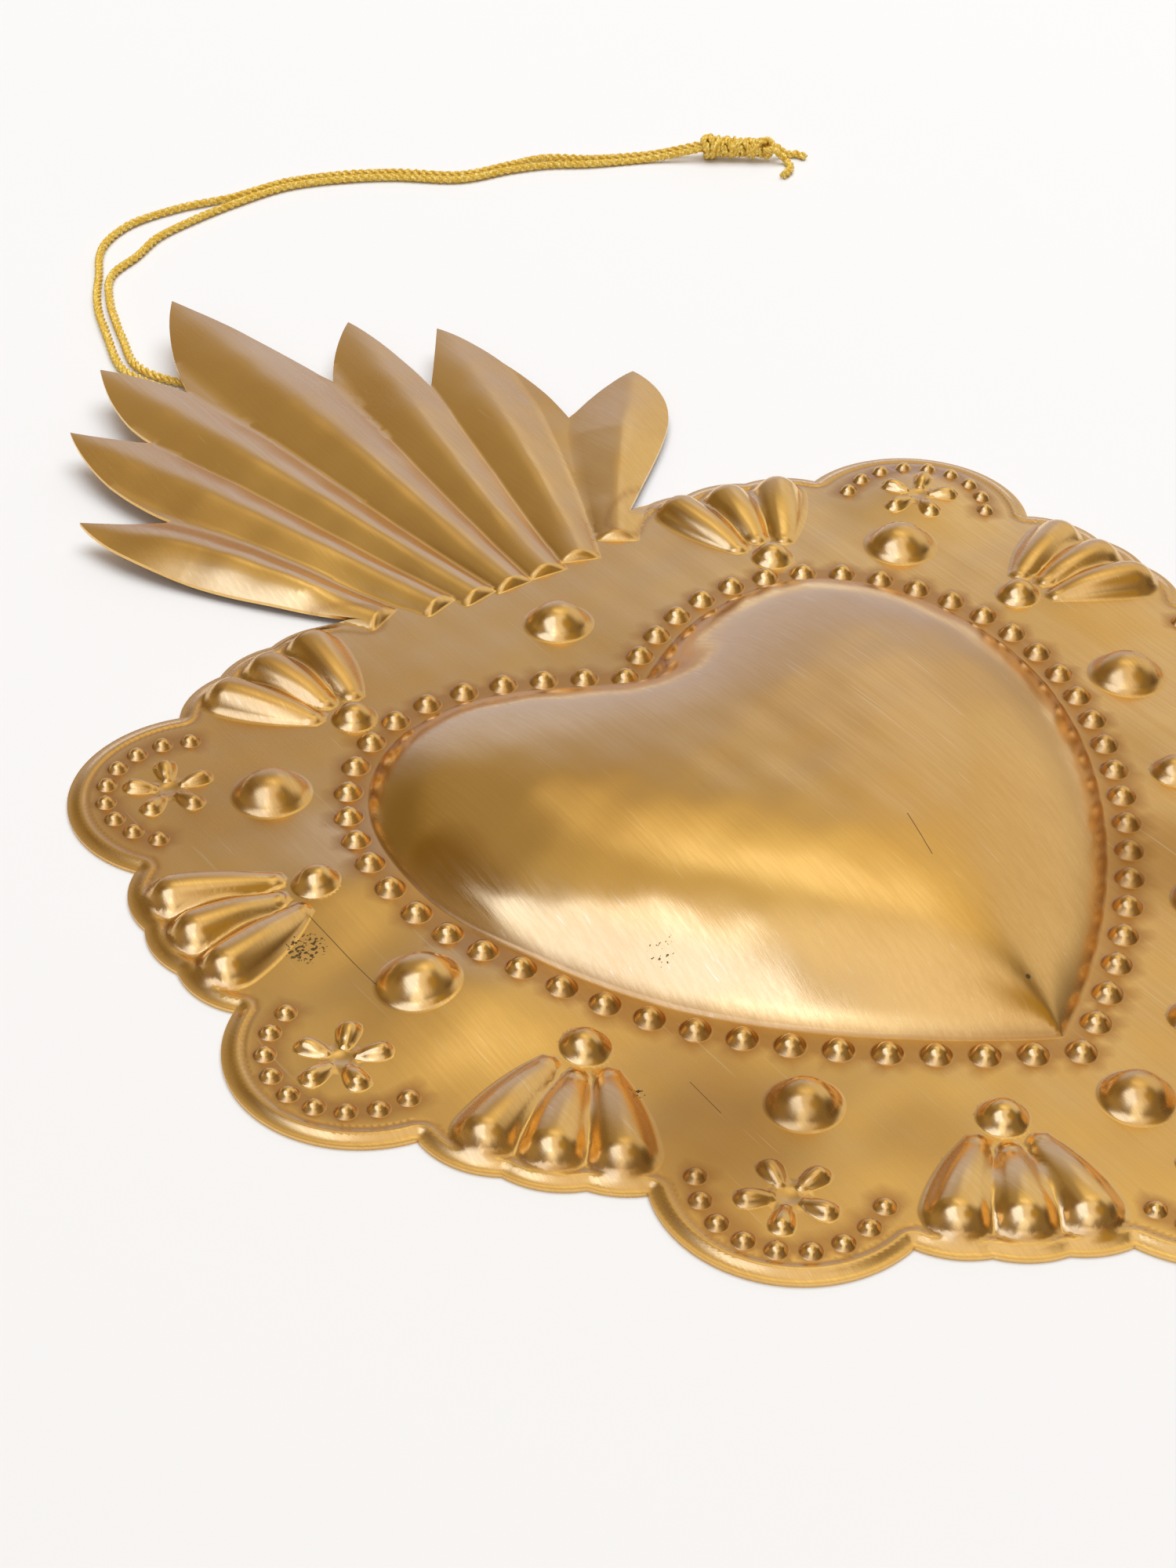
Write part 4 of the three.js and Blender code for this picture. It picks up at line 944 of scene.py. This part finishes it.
def make_sheet():
    """One net of triangles over the layout, lifted to the relief, with its underside and cut edge."""
    edge = [(i, (i + 1) % len(outline)) for i in range(len(outline))]
    flat, _, faces, _, _, _ = delaunay_2d_cdt([Vector(p) for p in sheet_points()], edge, [], 1, WELD)
    flat = np.array([tuple(v) for v in flat])
    tops, normals = relief(flat), relief_normals(flat)
    count = len(flat)
    faces = np.array(faces)
    a, b, c = flat[faces[:, 0]], flat[faces[:, 1]], flat[faces[:, 2]]
    turned = (b[:, 0] - a[:, 0]) * (c[:, 1] - a[:, 1]) - (b[:, 1] - a[:, 1]) * (c[:, 0] - a[:, 0]) < 0
    faces[turned] = faces[turned][:, ::-1]
    sides = np.concatenate([faces[:, [0, 1]], faces[:, [1, 2]], faces[:, [2, 0]]])
    known = {tuple(s) for s in sides.tolist()}
    rim = np.array([s for s in sides.tolist() if (s[1], s[0]) not in known])
    walls = np.column_stack([rim[:, 0], rim[:, 0] + count, rim[:, 1] + count, rim[:, 1]])
    vertices = np.concatenate([in_frame(flat, tops), in_frame(flat, tops - SHEET_THICKNESS)])
    polygons = faces.tolist() + (faces[:, ::-1] + count).tolist() + walls.tolist()
    sheet = new_piece("heart_pressing", vertices, polygons, brass)
    run = flat[rim[:, 1]] - flat[rim[:, 0]]
    out = np.column_stack([run[:, 1], -run[:, 0], np.zeros(len(run))])
    out /= np.linalg.norm(out, axis=1)[:, None]
    loops = np.concatenate([normals[faces].reshape(-1, 3), -normals[faces[:, ::-1]].reshape(-1, 3),
                            np.repeat(out, 4, axis=0)])
    sheet.data.normals_split_custom_set(loops.tolist())
    polished = eased(dome_rise(flat), POLISH_FROM, POLISH_FULL)
    for name, share in (("foot", foot_share(flat)), ("polish", polished)):
        sheet.data.attributes.new(name, "FLOAT", "POINT").data.foreach_set("value", np.tile(share, 2))
    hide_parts("heart_sheet")


make_sheet()


# Cord
SPAN_POINTS, CORD_STEP, TAIL_STEP, COIL_STEP = 25, 0.4, 0.35, 0.35
TAIL_INSET = 2  # how far a tail starts inside the knot


def smooth_route(points, step):
    """A centripetal curve through the points, in even steps."""
    points = np.asarray(points, float)
    ends = [2 * points[0] - points[1], *points, 2 * points[-1] - points[-2]]
    line = [points[0]]
    for p0, p1, p2, p3 in zip(ends[:-3], ends[1:-2], ends[2:-1], ends[3:]):
        spans = ((p0, p1), (p1, p2), (p2, p3))
        k0, k1, k2 = (max(np.linalg.norm(q - p), SAME_PLACE) ** 0.5 for p, q in spans)
        m1 = (p1 - p0) / k0 - (p2 - p0) / (k0 + k1) + (p2 - p1) / k1
        m2 = (p2 - p1) / k1 - (p3 - p1) / (k1 + k2) + (p3 - p2) / k2
        m1, m2 = m1 * k1, m2 * k1
        for t in np.linspace(0, 1, SPAN_POINTS)[1:]:
            line.append((2 * t ** 3 - 3 * t ** 2 + 1) * p1 + (t ** 3 - 2 * t ** 2 + t) * m1
                        + (3 * t ** 2 - 2 * t ** 3) * p2 + (t ** 3 - t ** 2) * m2)
    line = np.array(line)
    return respaced(line, max(math.ceil(line_length(line) / step), 4))


# Plies of the twine: count, corners of each, radius and offset in cord radii, and least squared radius
PLIES, PLY_SIDES, PLY_RADIUS, PLY_OFFSET, PLY_LEAST = 3, 8, 0.475, 0.525, 0.004
PLY_ANGLE = 360 / PLIES
TWIST_PITCH, STRAND_TURN = 4.2, 50
FIRST_SIDE = (0.1, 0.2, 1.0)  # a direction that no twine starts along
FUZZ = ((0.07, 5.1, 0), (0.05, 11.7, 1))  # uneven thickness: share, radians per millimetre and phase


def twine_skin(line, first_turn=0.0):
    """Corners and faces of the plies of twine laid round a line, closed at both ends."""
    along = np.gradient(line, axis=0)
    along /= np.linalg.norm(along, axis=1)[:, None]
    across = np.cross(along[0], FIRST_SIDE)
    frames = []
    for t in along:
        across = across - t * (across @ t)
        across /= np.linalg.norm(across)
        frames.append((across, np.cross(t, across)))
    run = np.concatenate([[0], np.cumsum(np.linalg.norm(np.diff(line, axis=0), axis=1))])
    sides = PLIES * PLY_SIDES
    ply = np.radians((np.arange(sides) % PLY_SIDES + 0.5) / PLY_SIDES * PLY_ANGLE - PLY_ANGLE / 2)
    bulge = np.maximum(PLY_RADIUS ** 2 - (PLY_OFFSET * np.sin(ply)) ** 2, PLY_LEAST)
    radius = PLY_OFFSET * np.cos(ply) + np.sqrt(bulge)
    corners = []
    for centre, (u, v), s in zip(line, frames, run):
        angle = np.radians(360 * np.arange(sides) / sides + 360 * s / TWIST_PITCH + first_turn)
        fuzz = 1 + sum(part * math.sin(rate * s + phase) for part, rate, phase in FUZZ)
        ring = np.cos(angle)[:, None] * u + np.sin(angle)[:, None] * v
        corners.append(centre + CORD_DIAMETER / 2 * fuzz * radius[:, None] * ring)
    rings = len(line)
    faces = []
    for i in range(rings - 1):
        for k in range(sides):
            n = (k + 1) % sides
            faces.append((i * sides + k, i * sides + n, (i + 1) * sides + n, (i + 1) * sides + k))
    low, high = rings * sides, rings * sides + 1
    for k in range(sides):
        n = (k + 1) % sides
        faces.append((low, n, k))
        faces.append((high, (rings - 1) * sides + k, (rings - 1) * sides + n))
    return np.concatenate(corners + [line[:1], line[-1:]]), faces


def twine_piece(name, lines):
    corners, faces = [], []
    for i, line in enumerate(lines):
        more, sides = twine_skin(line, STRAND_TURN * i)
        first = sum(len(c) for c in corners)
        faces += [tuple(first + k for k in side) for side in sides]
        corners.append(more)
    corners = np.concatenate(corners)
    return new_piece(name, in_frame(corners[:, :2], corners[:, 2]), faces, twine_gold)


cord_low = CORD_LIFT + CORD_DIAMETER / 2
eye_low = EYE_FLOOR_GAP + EYE_WIRE / 2
cord_in_eye = eye_low + EYE_WIRE / 2 + SEAT_GAP + CORD_DIAMETER / 2
knot_height = CORD_LIFT + KNOT_DIAMETER / 2
eye_line = ridges[EYE_FLAME][0]
eye_x = float(np.interp(EYE_Y, eye_line[:, 1], eye_line[:, 0]))


def knot_entry(side):
    back = polar(KNOT_AT, -KNOT_LENGTH / 2 - SEAT_GAP, KNOT_BEARING)
    return np.append(polar(back, side * STRAND_OFFSET, KNOT_BEARING + 90), knot_height)


def cord_route():
    eye = np.array([eye_x, EYE_Y])
    route = [knot_entry(1)]
    for p in [*[on_sheet(*q) for q in OUTER_STRAND], eye, *[on_sheet(*q) for q in INNER_STRAND]]:
        climb = eased(EYE_CLIMB - np.linalg.norm(p - eye), 0, EYE_CLIMB)
        route.append(np.append(p, cord_low + (cord_in_eye - cord_low) * climb))
    return smooth_route([*route, knot_entry(-1)], CORD_STEP)


def knot_frame(u, v, w):
    """A place along, across and above the knot's middle, in the layout."""
    turn = math.radians(KNOT_BEARING)
    along = np.array([math.cos(turn), math.sin(turn)])
    across = np.array([-along[1], along[0]])
    return np.append(KNOT_AT + u * along + v * across, knot_height + w)


KNOT_COIL = (-6.2, 4.4, 1.3, 10.2)  # start, end, radius and turns of the winding
KNOT_LUMP = (-4.6, 1.3, 0.32)  # place, spread and height of the lump where it starts
KNOT_RING = (4.5, 1.45)  # place and radius of the small loop at its end
# Unevenness of the winding, as size and rate: in its reach, in its turn and along the knot, and its taper
COIL_REACH, COIL_TURN, COIL_SLIP, COIL_TAPER = (0.12, 17), (0.6, 23), (0.25, 2.3), 0.2
COIL_POINTS, CORE_POINTS, RING_POINTS, CORE_INSET = 500, 24, 30, 0.3
RING_OPENING, RING_SWAY, RING_SQUASH, RING_LIFT = 2.9, 0.5, 0.95, 0.1


def make_knot():
    """Strands wound tightly round themselves, with a lump, and the small loop that is left at the end."""
    start, end, radius, turns = KNOT_COIL
    lump_at, lump_spread, lump = KNOT_LUMP
    coil = []
    for t in np.linspace(0, 1, COIL_POINTS):
        u = start + (end - start) * t
        lumped = lump * math.exp(-((u - lump_at) / lump_spread) ** 2)
        reach = radius + lumped + COIL_REACH[0] * math.sin(COIL_REACH[1] * t) - COIL_TAPER * t
        turn = 2 * math.pi * turns * t + COIL_TURN[0] * math.sin(COIL_TURN[1] * t)
        slip = COIL_SLIP[0] * math.sin(COIL_SLIP[1] * turn)
        coil.append(knot_frame(u + slip, reach * math.cos(turn), reach * math.sin(turn)))
    coil = respaced(coil, math.ceil(line_length(np.array(coil)) / COIL_STEP))
    core = respaced([knot_frame(start + CORE_INSET, 0, 0), knot_frame(end, 0, 0)], CORE_POINTS)
    centre, radius = KNOT_RING
    ring = []
    for a in np.linspace(-RING_OPENING, RING_OPENING, 2 * RING_POINTS):
        above = radius * RING_SQUASH * math.sin(a) + RING_LIFT
        ring.append(knot_frame(centre + radius * math.cos(a), RING_SWAY * math.sin(2 * a), above))
    return twine_piece("twine_knot", [coil, core, respaced(ring, RING_POINTS)])


def tail_route(side, reach):
    start, drop = KNOT_LENGTH / 2 + SEAT_GAP, cord_low - knot_height
    route = [knot_frame(start - inset, side * STRAND_OFFSET, 0) for inset in (TAIL_INSET, 0)]
    for x, y in reach:
        route.append(knot_frame(start + x * CORD_DIAMETER, side * STRAND_OFFSET + y * CORD_DIAMETER, drop))
    return smooth_route(route, TAIL_STEP)


route = cord_route()
cord = twine_piece("hanging_twine", [route])
knot = make_knot()
tails = [twine_piece(node.replace("cord", "twine"), [tail_route(*spec)]) for node, spec in TAILS.items()]
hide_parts("hanging_cord")
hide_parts("cord_knot")
for tail, node in zip(tails, TAILS):
    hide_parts(node)
cord_path = in_frame(route[:, :2], route[:, 2])

# Eye and solder: the CAD solids with their own finishes
FIXINGS = {"hanging_eye": wire_brass, "eye_solder_lower": solder_grey, "eye_solder_upper": solder_grey}
for node, material in FIXINGS.items():
    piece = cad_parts[node]
    piece.data.materials.clear()
    piece.data.materials.append(material)

# Camera, floor and light, in metres
CAMERA_AT = Vector((-0.174117, -0.242290, 0.210653))
FORWARD = Vector((0.4523, 0.6561, -0.6041)).normalized()
RIGHT = Vector((0.82334, -0.56755, 0))
AHEAD = Vector((0.56755, 0.82334, 0))
LENS_MM, SENSOR_MM, CLIP_START = 63.554, 36, 0.01
PAPER, FLOOR_SIZE = (0.82, 0.83, 0.86), 6


def make_floor():
    bpy.ops.mesh.primitive_plane_add(size=FLOOR_SIZE)
    floor = bpy.context.object
    floor.name = "studio_floor"
    material = bpy.data.materials.new("pale_paper")
    material.use_nodes = True
    nodes = Nodes(material.node_tree)
    tree = material.node_tree
    tree.nodes.remove(tree.nodes["Principled BSDF"])
    paper = nodes.node("BsdfDiffuse", None, {"Color": PAPER})
    tree.links.new(paper.socket, tree.nodes["Material Output"].inputs["Surface"])
    floor.data.materials.append(material)


# Surroundings that the brass mirrors: direction as ahead, right and up, degrees from it where full and where
# gone, and brightness
SURROUND = (0.25, 0.185, 0.10)
ZONES = [
    ((0.8, -0.05, 0.6), 18, 36, (0.41, 0.33, 0.20)),
    ((1, -0.05, 0.12), 12, 36, (0.58, 0.6, 0.92)),
    ((0.62, 0.64, 0.46), 12, 36, (0.78, 0.72, 0.64)),
    ((0.2, -0.85, 0.4), 20, 50, (0.36, 0.27, 0.13)),
    ((0.45, -0.36, 0.82), 10, 26, (0.37, 0.29, 0.17)),
    ((0.82, 0.2, 0.54), 4, 11, (0.8, 0.78, 0.85)),
    ((0.6, -0.12, 0.79), 4, 10, (0.53, 0.43, 0.28)),
    ((0.22, -0.76, 0.61), 8, 22, (0.2, 0.125, 0.03)),
    ((0.58, -0.78, 0.25), 8, 20, (0.22, 0.155, 0.06)),
    ((0.42, 0.12, 0.9), 8, 28, (0.90, 0.77, 0.45)),
    ((0.38, 0.02, 0.92), 3, 15, (1.2, 1.1, 0.85)),
    ((0.12, -0.2, 0.97), 6, 20, (0.62, 0.52, 0.28)),
    ((-0.12, 0.12, 0.98), 8, 26, (0.95, 0.88, 0.8)),
    ((-0.5, 0.2, 0.84), 10, 30, (0.95, 0.88, 0.85)),
    ((-0.32, 0.48, 0.8), 9, 20, (0.42, 0.28, 0.04)),
    ((-0.82, -0.15, 0.55), 10, 22, (1.25, 1.3, 1.5)),
    ((0.1, 1, 0.05), 12, 30, (0.12, 0.08, 0.045)),
]


def seen_from_camera(ahead, right, up):
    return (AHEAD * ahead + RIGHT * right + Vector((0, 0, up))).normalized()


def make_world():
    world = bpy.data.worlds.new("studio")
    bpy.context.scene.world = world
    world.use_nodes = True
    nodes = Nodes(world.node_tree)
    place = nodes.node("TexCoord", None, None, 0)
    colour = SURROUND
    for direction, full, gone, brightness in ZONES:
        toward = nodes.node("VectorMath", {"operation": "DOT_PRODUCT"},
                            {0: place, 1: tuple(seen_from_camera(*direction))}, 1)
        share = nodes.smooth(toward, math.cos(math.radians(gone)), math.cos(math.radians(full)))
        colour = nodes.mix(share, colour, brightness)
    nodes.feed(world.node_tree.nodes["Background"].inputs["Color"], colour)


# Lamp panels: place as ahead, right and up, size, radiance and colour
SOFTBOX = ((-0.56, -0.64, 1.0), (0.9, 1.12), 2.7, (0.38, 0.5, 0.95))
CEILING = ((0.47, 0.3, 1.9), (2.0, 2.0), 2.9, (0.90, 0.945, 1.0))


def make_panel(name, place, size, radiance, colour):
    """A level lamp panel that faces down, placed as the camera looks at the part."""
    ahead, right, up = place
    lamp = bpy.data.lights.new(name, "AREA")
    lamp.shape = "RECTANGLE"
    lamp.size, lamp.size_y = size
    lamp.energy = radiance * math.pi * size[0] * size[1]
    lamp.color = colour
    panel = bpy.data.objects.new(name, lamp)
    bpy.context.scene.collection.objects.link(panel)
    axes = Matrix((RIGHT, AHEAD, Vector((0, 0, 1)))).transposed().to_4x4()
    panel.matrix_world = Matrix.Translation(AHEAD * ahead + RIGHT * right + Vector((0, 0, up))) @ axes
    return panel


make_floor()
make_world()
softbox = make_panel("softbox", *SOFTBOX)
softbox.visible_diffuse = False
ceiling = make_panel("ceiling", *CEILING)
ceiling.visible_glossy = False

scene = bpy.context.scene
camera = bpy.data.objects.new("camera", bpy.data.cameras.new("camera"))
scene.collection.objects.link(camera)
camera.data.sensor_width = SENSOR_MM
camera.data.lens = LENS_MM
camera.data.clip_start = CLIP_START
upward = RIGHT.cross(FORWARD)
facing = Matrix((RIGHT, upward, -FORWARD)).transposed().to_4x4()
camera.matrix_world = Matrix.Translation(CAMERA_AT) @ facing
scene.camera = camera
scene.view_settings.view_transform = "Standard"
